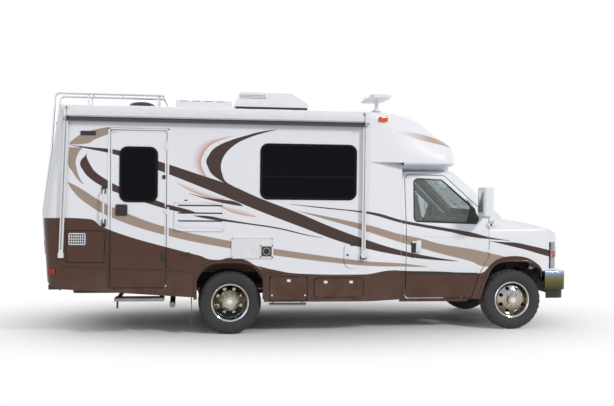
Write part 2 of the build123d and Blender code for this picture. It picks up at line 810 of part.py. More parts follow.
def hitch_receiver():
    """A square socket below a bar that bolts under the rails."""
    half = receiver_size / 2
    tail = from_rear(-rear_overhang)
    socket = block(tail, tail + receiver_length, -half, half, receiver_z - half, receiver_z + half)
    bore_half = receiver_bore / 2
    socket = socket - block(tail - 5, tail + receiver_length + 5, -bore_half, bore_half,
                            receiver_z - bore_half,
                            receiver_z + bore_half)
    pin_x = tail + receiver_pin_setback
    socket = socket - rod((pin_x, -receiver_size, receiver_z), (pin_x, receiver_size, receiver_z),
                          receiver_pin_radius)
    bar = block(from_rear(hitch_bar_row[0]), from_rear(hitch_bar_row[1]), -frame_half_width,
                frame_half_width,
                receiver_z + half + seat_gap, rail_bottom - seat_gap)
    return socket + bar


def entry_step():
    """The pull-out step under the entry door, on two brackets from the frame."""
    x_low, x_high, z_low, z_high = step_row
    x_low, x_high = from_rear(x_low), from_rear(x_high)
    step = block(x_low, x_high, -step_outer_y, -step_inner_y, z_low, z_high)
    seat = -frame_half_width - seat_gap
    for x in (x_low + step_arm_inset, x_high - step_arm_inset - step_arm_width):
        step = step + block(x, x + step_arm_width, -step_inner_y - 60, seat, z_low + 8, z_high)
        step = step + block(x, x + step_arm_width, seat - hanger_thickness, seat, z_low + 8,
                            rail_bottom + 60)
    leg_x = x_low + step_arm_inset + 4
    return step + block(leg_x, leg_x + 20, -step_outer_y + 35, -step_outer_y + 65, z_low - 82, z_low)


flap_x = -452
flap_outer_y = 1130
flap_inner_y = 655
flap_bottom = 120
flap_top = 630


def mud_flaps():
    flap = block(from_rear(flap_x), from_rear(flap_x) + 8, flap_inner_y, flap_outer_y, flap_bottom, flap_top)
    bracket = block(from_rear(flap_x), from_rear(flap_x) + 20, frame_half_width + seat_gap,
                    flap_outer_y - 30,
                    flap_top - 40, flap_top)
    return both_sides(flap + bracket)


beam_boss_radius = 38
beam_boss_height = 90


def front_axle():
    half = None
    for side in (-1, 1):
        boss = Pos(front_axle_x, side * kingpin_y, tyre_radius) * (
            Cylinder(beam_boss_radius, beam_boss_height)
            - Cylinder(kingpin_radius + pin_clearance, beam_boss_height + 10))
        y_pair = sorted((side * (kingpin_y - beam_boss_radius + 8), side * -180))
        x = front_axle_x + side * 45
        # the two beams cross under the engine, one ahead of the other
        reach = block(x - 22, x + 22, y_pair[0], y_pair[1], tyre_radius - 45, tyre_radius + 30)
        link_x = sorted((front_axle_x, x))
        neck_y = sorted((side * (kingpin_y - beam_boss_radius + 6), side * (kingpin_y - 110)))
        neck = block(link_x[0] - 22, link_x[1] + 22, neck_y[0], neck_y[1], tyre_radius - 40,
                     tyre_radius + 25)
        pivot = block(x - 30, x + 30, min(side * -150, side * -210), max(side * -150, side * -210),
                      tyre_radius - 45, rail_bottom + 30)
        spring = rod((x, side * spring_y, tyre_radius + 25), (x, side * spring_y, rail_top - 60), 52)
        tower_y = sorted((side * frame_half_width, side * 620))
        tower = block(x - 60, x + 60, tower_y[0], tower_y[1], rail_top - 62, rail_top - 40)
        radius_arm = block(from_rear(2750), x, min(side * 470, side * 520), max(side * 470, side * 520),
                           tyre_radius - 15, tyre_radius + 25)
        hanger = block(from_rear(2750), from_rear(2800), min(side * frame_half_width, side * 520),
                       max(side * frame_half_width, side * 520), tyre_radius - 15, rail_bottom + 40)
        beam = boss + reach + neck + pivot + spring + tower + radius_arm + hanger
        half = beam if half is None else half + beam
    brace = block(front_axle_x - 85, front_axle_x + 85, -frame_half_width + 8, frame_half_width - 8,
                  rail_bottom + 10, rail_bottom + 30)
    return half + brace


spring_y = 560
knuckle_arm_gap = 1
spindle_radius = 28


def knuckle(side):
    half_boss = beam_boss_height / 2
    pin_reach = half_boss + 34
    shape = Pos(front_axle_x, side * kingpin_y, tyre_radius) * Cylinder(kingpin_radius, 2 * pin_reach)
    for direction in (-1, 1):
        low, high = sorted((direction * (half_boss + knuckle_arm_gap), direction * pin_reach))
        z_low, z_high = tyre_radius + low, tyre_radius + high
        shape = shape + Pos(front_axle_x, side * kingpin_y, (z_low + z_high) / 2) * Cylinder(
            beam_boss_radius, z_high - z_low)
        y_pair = sorted((side * kingpin_y, side * (kingpin_y + 75)))
        shape = shape + block(front_axle_x - 30, front_axle_x + 30, y_pair[0], y_pair[1], z_low, z_high)
    y_pair = sorted((side * (kingpin_y + 45), side * (kingpin_y + 75)))
    shape = shape + block(front_axle_x - 45, front_axle_x + 45, y_pair[0], y_pair[1],
                          tyre_radius - pin_reach, tyre_radius + pin_reach)
    shape = shape + rod((front_axle_x, side * (kingpin_y + 60), tyre_radius),
                        (front_axle_x, side * (front_wheel_y + 60), tyre_radius), spindle_radius)
    return shape


def rear_axle():
    tube = rod((rear_axle_x, -inner_wheel_y + 130, tyre_radius),
               (rear_axle_x, inner_wheel_y - 130, tyre_radius), 55)
    tube = tube + rod((rear_axle_x, -dual_face_y + 5, tyre_radius),
                      (rear_axle_x, dual_face_y - 5, tyre_radius), 44)
    pot = rod((rear_axle_x - 140, 60, tyre_radius), (rear_axle_x + 120, 60, tyre_radius), 140)
    axle = tube + pot + rod((rear_axle_x + 100, 60, tyre_radius), (rear_axle_x + 260, 60, tyre_radius), 52)
    for side in (-1, 1):
        y_low, y_high = sorted((side * 470, side * 545))
        leaf_rows = [(rear_axle_x - 680, 560, 0), (rear_axle_x - 680, 590, 0), (rear_axle_x, 475, 900),
                     (rear_axle_x + 680, 590, 0), (rear_axle_x + 680, 560, 0), (rear_axle_x, 420, 900)]
        leaves = side_prism(leaf_rows, y_low, y_high)
        seat = block(rear_axle_x - 60, rear_axle_x + 60, y_low, y_high, tyre_radius - 20, 470)
        hangers = block(rear_axle_x - 700, rear_axle_x - 660, min(side * frame_half_width, side * 545),
                        max(side * frame_half_width, side * 545), 555, rail_top - 30)
        hangers = hangers + block(rear_axle_x + 660, rear_axle_x + 700,
                                  min(side * frame_half_width, side * 545),
                                  max(side * frame_half_width, side * 545), 555, rail_top - 30)
        axle = axle + leaves + seat + hangers
    return axle


dual_face_y = outer_wheel_y - dual_spacing / 2


def tyre(y):
    half = tyre_width / 2
    bead = rim_half_width - 9
    rows = [(-bead, bead_radius, 0), (-bead, rim_flange_radius + 2, 0), (-half, bead_radius + 50, 40),
            (-half, tyre_radius - 45, 55),
            (-half + 22, tyre_radius - 5, 14), (-60, tyre_radius, 0), (60, tyre_radius, 0),
            (half - 22, tyre_radius - 5, 14), (half, tyre_radius - 45, 55), (half, bead_radius + 50, 40),
            (bead, rim_flange_radius + 2, 0), (bead, bead_radius, 0)]
    face = outline(rows, lambda across, out: (0, y + across, out))
    return revolve(face, axis=Axis.Y)


rim_flange_radius = bead_radius + 17
hand_hole_count = 8
hand_hole_radius = 23
hand_hole_circle = 150


def rim(y, face_y, side, dish):
    """A steel rim about its own axle at the origin: barrel, and a disc whose middle stands at face_y."""
    half = rim_half_width
    inner = bead_radius - rim_wall
    barrel_rows = [(-half, rim_flange_radius, 0), (-half, inner + 5, 12), (-half + 30, inner, 12),
                   (half - 30, inner, 12), (half, inner + 5, 12), (half, rim_flange_radius, 0),
                   (half - 6, rim_flange_radius, 0), (half - 8, bead_radius - seat_gap, 0),
                   (-half + 8, bead_radius - seat_gap, 0), (-half + 6, rim_flange_radius, 0)]
    barrel = revolve(outline(barrel_rows, lambda across, out: (0, y + across, out)), axis=Axis.Y)
    t = 8 * side
    disc_rows = [(face_y, hub_radius + 2, 0), (face_y, 118, 0), (face_y + dish * 0.35, 150, 0),
                 (face_y + dish, inner + 5, 0), (face_y + dish - t, inner + 5, 0),
                 (face_y + dish * 0.35 - t, 146, 0), (face_y - t, 112, 0), (face_y - t, hub_radius + 2, 0)]
    disc = revolve(outline(disc_rows, lambda across, out: (0, across, out)), axis=Axis.Y)
    for index in range(hand_hole_count):
        angle = math.radians(360 / hand_hole_count * (index + 0.5))
        x, z = hand_hole_circle * math.cos(angle), hand_hole_circle * math.sin(angle)
        low, high = sorted((face_y + 120 * side, face_y - 140 * side))
        disc = disc - rod((x, low, z), (x, high, z), hand_hole_radius)
    return barrel + disc


def rear_hub(side):
    """Hub between and through the twin discs, with its bearing bore over the axle end."""
    start = side * (dual_face_y - 70)
    end = side * (dual_face_y + 150)
    hub = rod((0, start, 0), (0, end, 0), hub_radius + 3)
    hub = hub - rod((0, start - side, 0), (0, side * (dual_face_y - 4), 0), 44 + pin_clearance)
    return hub


def rear_rims(side):
    outer_disc = rim(side * outer_wheel_y, side * (dual_face_y + 9), side, side * 48)
    inner_disc = rim(side * inner_wheel_y, side * (dual_face_y - 9), -side, -side * 48)
    drum = rod((0, side * (dual_face_y - 12), 0), (0, side * (dual_face_y - 100), 0), 160)
    drum = drum - rod((0, side * (dual_face_y - 20), 0), (0, side * (dual_face_y - 101), 0), 150)
    bore = rod((0, side * (dual_face_y - 110), 0), (0, side * (dual_face_y - 4), 0), 44 + pin_clearance)
    return Pos(rear_axle_x, 0, tyre_radius) * (outer_disc + inner_disc + rear_hub(side) + drum - bore)


def front_rim(side):
    face_y = side * (front_wheel_y + 88)
    wheel = rim(side * front_wheel_y, face_y, side, side * -46)
    hub = rod((0, side * (front_wheel_y - 30), 0), (0, side * (front_wheel_y + 132), 0), hub_radius + 3)
    hub = hub - rod((0, side * (front_wheel_y - 31), 0), (0, side * (front_wheel_y + 62), 0),
                    spindle_radius + pin_clearance)
    rotor = rod((0, side * (front_wheel_y - 30), 0), (0, side * (front_wheel_y - 6), 0), 165)
    rotor = rotor - rod((0, side * (front_wheel_y - 31), 0), (0, side * (front_wheel_y - 5), 0), hub_radius)
    return Pos(front_axle_x, 0, tyre_radius) * (wheel + hub + rotor)


engine_row = (3010, 3700, 560, 1010)
engine_half_width = 260
gearbox_tail = 2200
shaft_radius = 42


def powertrain():
    """Engine on its two mounts, with sump, gearbox, shaft and radiator, each bolted to the next."""
    x_low, x_high, z_low, z_high = engine_row
    x_low, x_high = from_rear(x_low), from_rear(x_high)
    engine = block(x_low, x_high, -engine_half_width, engine_half_width, z_low, z_high)
    sump = block(x_low + 50, x_low + 320, -150, 150, z_low - 130, z_low - seat_gap)
    gearbox_rows = [(from_rear(gearbox_tail), 470, 0), (from_rear(gearbox_tail), 600, 0),
                    (from_rear(2800), 660, 0),
                    (x_low - seat_gap, 740, 0), (x_low - seat_gap, 440, 0), (from_rear(2700), 430, 0)]
    gearbox = side_prism(gearbox_rows, -150, 150)
    shaft = rod((from_rear(gearbox_tail + 5), 0, 535), (from_rear(270), 60, tyre_radius), shaft_radius)
    shaft = shaft - block(from_rear(gearbox_tail) - seat_gap, from_rear(gearbox_tail) + 20, -100, 100, 400,
                          700)
    radiator = block(from_rear(3925), from_rear(nose_support) - 25 - seat_gap, -330, 330, 690, 1105)
    mounts = block(x_low + 240, x_low + 320, engine_half_width + seat_gap,
                   frame_half_width - frame_rail_web - seat_gap, z_low, z_low + 60)
    return engine + sump + gearbox + shaft + radiator + both_sides(mounts)


fuel_tank_row = (-1900, -1220, 400, 600)
fuel_tank_half_width = 345


def tanks():
    """Fuel tank hung from a strap across the rails, and the water tank under the floor."""
    x_low, x_high, z_low, z_high = fuel_tank_row
    fuel = plan_prism(rectangle_rows(from_rear(x_low), from_rear(x_high), -fuel_tank_half_width,
                                     fuel_tank_half_width, 60), z_low, z_high)
    water = plan_prism(rectangle_rows(from_rear(500), from_rear(930), 580, 1130, 50), 400,
                       floor_bottom - seat_gap)
    strap_y = frame_half_width - frame_rail_web - seat_gap
    middle = from_rear((x_low + x_high) / 2 - 140)
    strap = block(middle - 40, middle + 40, -strap_y, strap_y, z_high + seat_gap, z_high + 18)
    return fuel + water + strap


exhaust_radius = 32
exhaust_y = -400
exhaust_z = 466
exhaust_end = (-668, -1130, 352)
exhaust_tip_radius = 34
exhaust_tip_length = 100
muffler_radius = 74
muffler_row = (1600, 2080)


def exhaust():
    """Pipe from the engine to behind the rear wheels, with a tip that ends under the skirt."""
    start_y = -215
    end = (from_rear(exhaust_end[0]),) + exhaust_end[1:]
    bends = [(from_rear(engine_row[0]) - seat_gap, start_y, 600), (from_rear(2850), start_y, 600),
             (from_rear(2650), start_y, exhaust_z), (from_rear(2350), exhaust_y, exhaust_z),
             (from_rear(exhaust_end[0]), exhaust_y, exhaust_z), end]
    pipe = tube_along(bends, 110, exhaust_radius)
    back = (Vector(bends[-2]) - Vector(end)).normalized()
    tip = rod(end, Vector(end) + back * exhaust_tip_length, exhaust_tip_radius)
    muffler = rod((from_rear(muffler_row[0]), exhaust_y, exhaust_z - 36),
                  (from_rear(muffler_row[1]), exhaust_y, exhaust_z - 36), muffler_radius)
    hanger = block(from_rear(1830), from_rear(1850), exhaust_y - 15, exhaust_y + 15, exhaust_z,
                   rail_bottom - seat_gap)
    return pipe + tip + muffler + hanger


# ---------------------------------------------------------------- inside

worktop_height = 900
galley_row = (-900, 900)
galley_front_y = 540
panel_thickness = 40
overhead_front_y = 780
overhead_bottom = 2190
dinette_seat_height = 300
dinette_back_height = 420
dinette_inner_y = 620
# Columns: back edge, front edge, height
dinette_rows = ((490, 560, dinette_back_height), (560, 820, dinette_seat_height),
                (1180, 1440, dinette_seat_height), (1440, 1500, dinette_back_height))
table_height = 690


def furniture():
    """Galley on the left, bath bulkhead at the tail, wardrobe, dinette bases and table."""
    y_wall = wall_inner - 2
    top = roof_shoulder - 190
    clear = block(rear_axle_x - well_half_length - 14, rear_axle_x + well_half_length + 14,
                  well_inner_y - 14, y_wall + 20, floor_top - 10, well_top + 6)
    x_low, x_high = from_rear(galley_row[0]), from_rear(galley_row[1])
    panel = block(x_low, x_low + panel_thickness, galley_front_y, y_wall, floor_top, top) - clear
    inner = x_low + panel_thickness + seat_gap
    galley = block(inner, x_high, galley_front_y, y_wall, floor_top, floor_top + worktop_height) - clear
    overhead = block(inner, x_high, overhead_front_y, y_wall, overhead_bottom, top)
    bulkhead = block(from_rear(-1460), from_rear(-1436), -300, y_wall, floor_top, top)
    wardrobe = block(from_rear(-1880), from_rear(-1418), -y_wall, -560, floor_top, top)
    # the gas bottle bin opens through the coach side
    gas_bin = block(from_rear(gas_locker_row[0]), from_rear(gas_locker_row[1]), -wall_inner, -760,
                    gas_locker_row[2], gas_locker_row[3])
    wardrobe = wardrobe - gas_bin
    dinette = join([block(from_rear(low), from_rear(high), -y_wall, -dinette_inner_y, floor_top,
                          floor_top + height)
                    for low, high, height in dinette_rows])
    table_z = floor_top + table_height
    table = block(from_rear(830), from_rear(1170), -y_wall, -660, table_z, table_z + 25)
    table = table + rod((from_rear(1000), -850, floor_top), (from_rear(1000), -850, table_z + 10), 28)
    return join([galley, panel, overhead, bulkhead, wardrobe, dinette, table])


def coach_cushions():
    cushion = []
    for low, high in ((565, 815), (1185, 1435)):
        base = block(from_rear(low), from_rear(high), -wall_inner + 6, -624, floor_top + 300.3,
                     floor_top + 420)
        cushion.append(base)
    back = block(from_rear(495), from_rear(559), -wall_inner + 6, -624, floor_top + 420.3, floor_top + 900)
    fore = block(from_rear(1441), from_rear(1495), -wall_inner + 6, -624, floor_top + 420.3, floor_top + 900)
    return cushion[0] + cushion[1] + back + fore


seat_y = 515
seat_half_width = 215


def cab_seats():
    top = cab_floor + 30
    outline_rows = [(from_rear(2330), top + 250.3, 20), (from_rear(2860), top + 250.3, 30),
                    (from_rear(2880), top + 365, 50), (from_rear(2470), top + 340, 60),
                    (from_rear(2330), top + 1020, 50), (from_rear(2210), top + 1000, 50),
                    (from_rear(2300), top + 400, 200)]
    seat = side_prism(outline_rows, seat_y - seat_half_width, seat_y + seat_half_width)
    return both_sides(seat)


steering_wheel_hub = (2800, seat_y, 1275)
steering_wheel_radius = 190
steering_rim_radius = 14
steering_lean = (-0.86, 0, 0.5)
cover_half_width = 290


def dashboard():
    """Dashboard, engine cover, seat boxes, steering column and wheel."""
    half = cab_half_width - 107
    firewall = from_rear(cab_front) - 21
    pan_top = cab_floor + 30
    dash_rows = [(firewall, 960, 0), (firewall, 1385, 0), (from_rear(3050), 1400, 60),
                 (from_rear(2960), 1330, 50),
                 (from_rear(3000), 1120, 60), (from_rear(3110), 960, 0)]
    cover_rows = [(from_rear(2780), pan_top, 0), (from_rear(2780), 990, 70), (from_rear(3000), 1120, 50),
                  (firewall, 1120, 0), (firewall, pan_top, 0)]
    hollow_rows = [(from_rear(2800), pan_top - 10, 0), (from_rear(2800), 970, 60),
                   (from_rear(3010), 1050, 50),
                   (from_rear(cab_front), 1050, 0), (from_rear(cab_front), pan_top - 10, 0)]
    cover = side_prism(cover_rows, -cover_half_width, cover_half_width)
    cover = cover - side_prism(hollow_rows, -cover_half_width + 20, cover_half_width - 20)
    room = grown(cover_rows, seat_gap, -cover_half_width - seat_gap, cover_half_width + seat_gap)
    dash = side_prism(dash_rows, -half, half) - room
    box = block(from_rear(2330), from_rear(2840), seat_y - 200, seat_y + 200, pan_top, cab_floor + 280)
    hub = Vector(from_rear(steering_wheel_hub[0]), steering_wheel_hub[1], steering_wheel_hub[2])
    lean = Vector(steering_lean)
    wheel_plane = Plane(origin=hub, z_dir=lean)
    wheel = wheel_plane * Torus(steering_wheel_radius, steering_rim_radius)
    for angle in (0, 130, 230):
        spoke = Pos(steering_wheel_radius / 2, 0, 0) * Box(steering_wheel_radius, 26, 14)
        wheel = wheel + wheel_plane * Rot(0, 0, angle) * spoke
    wheel = wheel + wheel_plane * Cylinder(48, 36)
    column = rod(hub, hub - lean * 330, 30) - grown(dash_rows, seat_gap, -half, half)
    return join([dash, cover, both_sides(box), wheel + column])


# ---------------------------------------------------------------- outside fittings

awning_low = 2468
awning_high = 2612
awning_depth = 122
awning_arm_width = 46
awning_arm_foot = 935


def awning():
    seat = -coach_half_width - seat_gap
    face = -coach_half_width - awning_depth
    rows = [(seat, awning_low + 25, 0), (seat, awning_high, 0), (seat - 70, awning_high, 30),
            (face, awning_high - 40, 24), (face, awning_low + 35, 20), (face + 45, awning_low + 25, 0)]
    case = end_prism(rows, from_rear(-1855), from_rear(1545))
    cap_rows = [(seat, awning_low, 0), (seat, awning_high + 4, 0), (seat - 72, awning_high + 4, 32),
                (face - 4, awning_high - 38, 26), (face - 4, awning_low + 30, 24),
                (face + 40, awning_low, 20)]
    case = case + end_prism(cap_rows, from_rear(-1885), from_rear(-1855))
    case = case + end_prism(cap_rows, from_rear(1545), from_rear(1610))
    roll = rod((from_rear(-1870), seat - 52, awning_low + 22), (from_rear(1560), seat - 52, awning_low + 22),
               34)
    total = case + roll
    for distance, lean in ((-1868, -50), (1565, 0)):
        x = from_rear(distance)
        rows = [(x - awning_arm_width / 2, awning_low + 10, 0),
                (x + awning_arm_width / 2, awning_low + 10, 0),
                (x + lean + awning_arm_width / 2, awning_arm_foot, 0),
                (x + lean - awning_arm_width / 2, awning_arm_foot, 0)]
        arm = side_prism(rows, seat - 44, seat - 16)
        foot = block(x + lean - 30, x + lean + 30, seat - 52, seat, awning_arm_foot - 30,
                     awning_arm_foot + 25)
        total = total + arm + foot
    return total


rack_tube_radius = 12.5
rack_top = 2832
far_rail_y = 520
far_rail_z = 2785
ladder_y = (-560, -160)
# Columns: place ahead of the rear axle, height
ladder_line = ((-2195, 1000), (-2220, 1420), (-2128, 2150), (-2088, rack_top))
rung_count = 5
rung_pitch = 270
first_rung_z = 1060


def ladder_x(z):
    """Where the ladder's rails stand at a height."""
    below = max(index for index, (x, height) in enumerate(ladder_line[:-1]) if height <= z)
    (x_low, z_low), (x_high, z_high) = ladder_line[below], ladder_line[below + 1]
    return from_rear(x_low + (x_high - x_low) * (z - z_low) / (z_high - z_low))


def ladder_and_rack():
    """Tail ladder whose rails run on over the roof as the rack's side rails."""
    pieces = []
    for y in ladder_y:
        points = [(from_rear(x), y, z) for x, z in ladder_line]
        points = points + [(from_rear(-800), y, rack_top), (from_rear(-740), y, 2690)]
        pieces.append(tube_along(points, 55, rack_tube_radius))
    pieces.append(tube_along([(from_rear(-1925), far_rail_y, 2660),
                              (from_rear(-1905), far_rail_y, far_rail_z),
                              (from_rear(-760), far_rail_y, far_rail_z),
                              (from_rear(-740), far_rail_y, 2670)],
                             45, rack_tube_radius))
    # rungs and crossbars end against the rails
    seat = rack_tube_radius + seat_gap
    spans = [(ladder_x(first_rung_z + index * rung_pitch), first_rung_z + index * rung_pitch, 1)
             for index in range(rung_count)]
    spans = spans + [(from_rear(distance), rack_top, 2) for distance in (-1650, -1300, -860)]
    for x, z, slimmer in spans:
        pieces.append(rod((x, ladder_y[0] + seat, z), (x, ladder_y[1] - seat, z),
                          rack_tube_radius - slimmer))
    for distance in (-1700, -870):
        x = from_rear(distance)
        for y, z in ((ladder_y[0], rack_top), (ladder_y[1], rack_top), (far_rail_y, far_rail_z)):
            post = rod((x, y, 2600), (x, y, z - seat), rack_tube_radius - 2)
            foot = rod((x, y, 2600), (x, y, 2745), 26)
            pieces.append(post + (foot & roof_skin(12)))
    slim = rack_tube_radius - 2
    for z in (1100, 2060):
        x = max(ladder_x(z - slim), ladder_x(z + slim)) + seat + seat_gap
        for y in ladder_y:
            pieces.append(rod((x, y, z), (from_rear(-2000), y, z), slim))
    roof = roof_skin(seat_gap) & block(coach_rear_x, 3000, -1500, 1500, 2000, 3000)
    return join(pieces) - tail_form(-seat_gap, 300) - roof


def roof_air_conditioner():
    rows = [(from_rear(70), 2700, 0), (from_rear(70), 2790, 20), (from_rear(140), 2940, 45),
            (from_rear(800), 2930, 60),
            (from_rear(1000), 2800, 30), (from_rear(1000), 2700, 0)]
    body = side_prism(rows, -335, 335)
    end_rows = [(-335, 2600, 0), (-335, 2810, 40), (-250, 2960, 70), (250, 2960, 70), (335, 2810, 40),
                (335, 2600, 0)]
    body = body & end_prism(end_rows, from_rear(60), from_rear(1010))
    return body - roof_skin(seat_gap)


def roof_vents():
    """Skylight cover, smoked fan dome and television antenna."""
    skylight = end_prism([(-420, 2600, 0), (-400, 2805, 40), (400, 2805, 40), (420, 2600, 0)],
                         from_rear(-660), from_rear(30))
    dome = end_prism([(-470, 2600, 0), (-440, 2790, 60), (-100, 2790, 60), (-70, 2600, 0)],
                     from_rear(-1250), from_rear(-910))
    mast = rod((from_rear(1880), -380, 2600), (from_rear(1880), -380, 2880), 24)
    wing = plan_prism([(from_rear(1740), -760, 60), (from_rear(1700), -380, 200), (from_rear(1740), 0, 60),
                       (from_rear(1990), 0, 60), (from_rear(2010), -380, 200), (from_rear(1990), -760, 60)],
                      2858, 2900)
    fittings = skylight + dome - roof_skin(seat_gap)
    return fittings + (mast + wing - front_cap_form(-seat_gap))


def service_panels():
    """Louvred panels, the heater door and inlets on the coach sides."""
    total = None
    # back edge, front edge, bottom, top, corner radius, proud, side
    table = (
        (-655, -80, 1210, 1560, 12, 9, -1), (5, 495, 895, 1145, 14, 8, -1),
        (1340, 1528, 785, 1105, 90, 10, -1),
        (-1714, -1543, 2297, 2346, 8, 8, -1), (-590, -470, 915, 978, 10, 8, -1),
        (-1400, -1180, 950, 1200, 14, 8, 1), (900, 1250, 1000, 1330, 12, 9, 1))
    for x_low, x_high, z_low, z_high, radius, proud, side in table:
        low, high = sorted((side * (coach_half_width + seat_gap),
                            side * (coach_half_width + seat_gap + proud)))
        panel = side_prism(box_rows((x_low, x_high, z_low, z_high, radius)), low, high)
        total = panel if total is None else total + panel
    return total


mirror_row = (2992, 3138, 1415, 1758)
mirror_outer_y = 1330


# ---------------------------------------------------------------- export

def cab_door_with_hinges(side):
    door = cab_door(side)
    fixed = []
    for z in cab_hinge_heights:
        centre = (from_rear(door_front) + door_gap / 2, side * (cab_half_width + 6), z)
        ends, middle = leaf_hinge(centre, (-1, 0, 0), (0, -side, 0), 80, 30, 30)
        door = door + middle
        fixed.append(ends)
    y_low, y_high = sorted((side * (mirror_outer_y - 235), side * mirror_outer_y))
    head_rows = [(from_rear(3005), y_low, 30), (from_rear(3138), y_low + 15, 50),
                 (from_rear(3138), y_high - 15, 50),
                 (from_rear(3005), y_high, 30)]
    head = plan_prism(head_rows, mirror_row[2], mirror_row[3])
    y_pair = sorted((side * (cab_half_width - 55), side * (mirror_outer_y - 120)))
    arm = block(from_rear(3072), from_rear(3122), y_pair[0], y_pair[1], 1385, 1425)
    door = door + (arm - cab_form(12, 300)) + head
    return door, fixed


hood_hinge_y = 300


def hood_with_hinges():
    panel = hood()
    fixed = []
    for y in (-hood_hinge_y, hood_hinge_y):
        centre = (from_rear(hood_back) - panel_gap / 2, y, 1378.5)
        ends, middle = leaf_hinge(centre, (1, 0, 0), (0, 0, -1), 90, 20, 20)
        panel = panel + middle
        fixed.append(ends)
    return panel, fixed


cab_doors = {side: cab_door_with_hinges(side) for side in (-1, 1)}
hood_panel, hood_fixed = hood_with_hinges()

nodes = {
    "chassis_frame": join([chassis_frame(), entry_step(), mud_flaps()]),
    "hitch_receiver": hitch_receiver(),
    "front_axle": front_axle(),
    "rear_axle": rear_axle(),
    "powertrain": powertrain(),
    "tanks": tanks(),
    "exhaust": exhaust(),
    "coach_floor": coach_floor(),
    "coach_wall_right": coach_wall(-1, [entry_door_row, gas_locker_row], [big_window_row],
                                   entry_door_fixed + gas_locker_fixed),
    "coach_wall_left": coach_wall(1, [], [left_window_row, left_rear_window_row], []),
    "skirt_right": skirt(-1, [entry_door_row, rear_locker_row, front_locker_row],
                         [rear_locker_row, front_locker_row], rear_locker_fixed + front_locker_fixed),
    "skirt_left": skirt(1, [left_locker_row], [left_locker_row], left_locker_fixed),
    "coach_roof": coach_roof(),
    "rear_cap": rear_cap(),
    "front_cap": front_cap(),
    "cab_shell": cab_shell(),
    "front_end": join([front_end()] + cab_doors[-1][1] + cab_doors[1][1] + hood_fixed),
    "grille": grille() + valance(),
    "front_bumper": front_bumper(),
    "lamps": headlamp(1) + headlamp(-1) + tail_lamps(),
    "fixed_glass": fixed_glass(),
    "furniture": furniture(),
    "coach_cushions": coach_cushions(),
    "cab_seats": cab_seats(),
    "dashboard": dashboard(),
    "awning": awning(),
    "ladder_and_rack": ladder_and_rack(),
    "roof_air_conditioner": roof_air_conditioner(),
    "roof_vents": roof_vents(),
    "service_panels": service_panels(),
    "entry_door": entry_door,
    "entry_door_glass": entry_door_glass(),
    "cab_door_right": cab_doors[-1][0],
    "cab_glass_right": cab_glass(-1),
    "cab_door_left": cab_doors[1][0],
    "cab_glass_left": cab_glass(1),
    "hood": hood_panel,
    "rear_locker_door": rear_locker_door,
    "front_locker_door": front_locker_door,
    "left_locker_door": left_locker_door,
    "gas_locker_door": gas_locker_door,
    "knuckle_right": knuckle(-1),
    "knuckle_left": knuckle(1),
}
for side, word in ((-1, "right"), (1, "left")):
    nodes[f"front_tyre_{word}"] = Pos(front_axle_x, 0, tyre_radius) * tyre(side * front_wheel_y)
    nodes[f"front_rim_{word}"] = front_rim(side)
    nodes[f"rear_tyres_{word}"] = Pos(rear_axle_x, 0, tyre_radius) * (
        tyre(side * outer_wheel_y) + tyre(side * inner_wheel_y))
    nodes[f"rear_rims_{word}"] = rear_rims(side)

os.makedirs("parts", exist_ok=True)
for name, shape in nodes.items():
    export_step(shape, f"parts/{name}.step")
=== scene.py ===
import bpy
import bmesh
import json
import math
from mathutils import Matrix, Vector
from mathutils.bvhtree import BVHTree


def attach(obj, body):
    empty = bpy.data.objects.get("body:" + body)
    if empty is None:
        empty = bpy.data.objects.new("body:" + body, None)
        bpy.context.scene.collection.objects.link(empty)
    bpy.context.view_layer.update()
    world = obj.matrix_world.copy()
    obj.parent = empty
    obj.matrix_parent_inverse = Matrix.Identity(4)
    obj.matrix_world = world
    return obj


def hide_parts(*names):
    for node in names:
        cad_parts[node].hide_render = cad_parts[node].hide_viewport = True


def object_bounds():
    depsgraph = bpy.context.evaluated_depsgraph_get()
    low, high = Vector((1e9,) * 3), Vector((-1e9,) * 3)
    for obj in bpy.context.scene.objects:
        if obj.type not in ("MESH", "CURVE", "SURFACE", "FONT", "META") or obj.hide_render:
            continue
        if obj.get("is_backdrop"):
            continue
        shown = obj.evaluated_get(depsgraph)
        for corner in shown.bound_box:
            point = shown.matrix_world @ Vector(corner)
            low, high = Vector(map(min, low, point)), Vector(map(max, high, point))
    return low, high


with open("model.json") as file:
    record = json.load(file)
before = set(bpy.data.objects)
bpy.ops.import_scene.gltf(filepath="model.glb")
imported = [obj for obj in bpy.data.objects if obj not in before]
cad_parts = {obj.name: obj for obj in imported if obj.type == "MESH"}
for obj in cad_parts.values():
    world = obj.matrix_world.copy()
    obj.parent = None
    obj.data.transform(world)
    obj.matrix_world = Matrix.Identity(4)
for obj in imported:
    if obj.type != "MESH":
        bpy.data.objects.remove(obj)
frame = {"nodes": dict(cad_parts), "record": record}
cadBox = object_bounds()
print("frame loaded")

rearAxleX = -1.005
frontAxleX = 2.5
wheelZ = 0.368
wallY = 1.181
topColour = (241, 242, 246)
dustColour = (150, 138, 124)


def fromAxle(distance):
    return rearAxleX + distance


def paint(red, green, blue, share=1):
    # screen values to scene-linear colour, dimmed to a share of it
    def channel(value):
        value = value / 255
        return share * (value / 12.92 if value <= 0.04045 else ((value + 0.055) / 1.055) ** 2.4)
    return (channel(red), channel(green), channel(blue), 1)


def addNode(tree, kind, **settings):
    node = tree.nodes.new(kind)
    for key, value in settings.items():
        setattr(node, key, value)
    return node


def plug(tree, target, value):
    # a socket is linked, anything else is set on the input
    if isinstance(value, bpy.types.NodeSocket):
        tree.links.new(value, target)
    else:
        target.default_value = value


def feed(tree, node, values):
    for label, value in values.items():
        plug(tree, node.inputs[label], value)
    return node


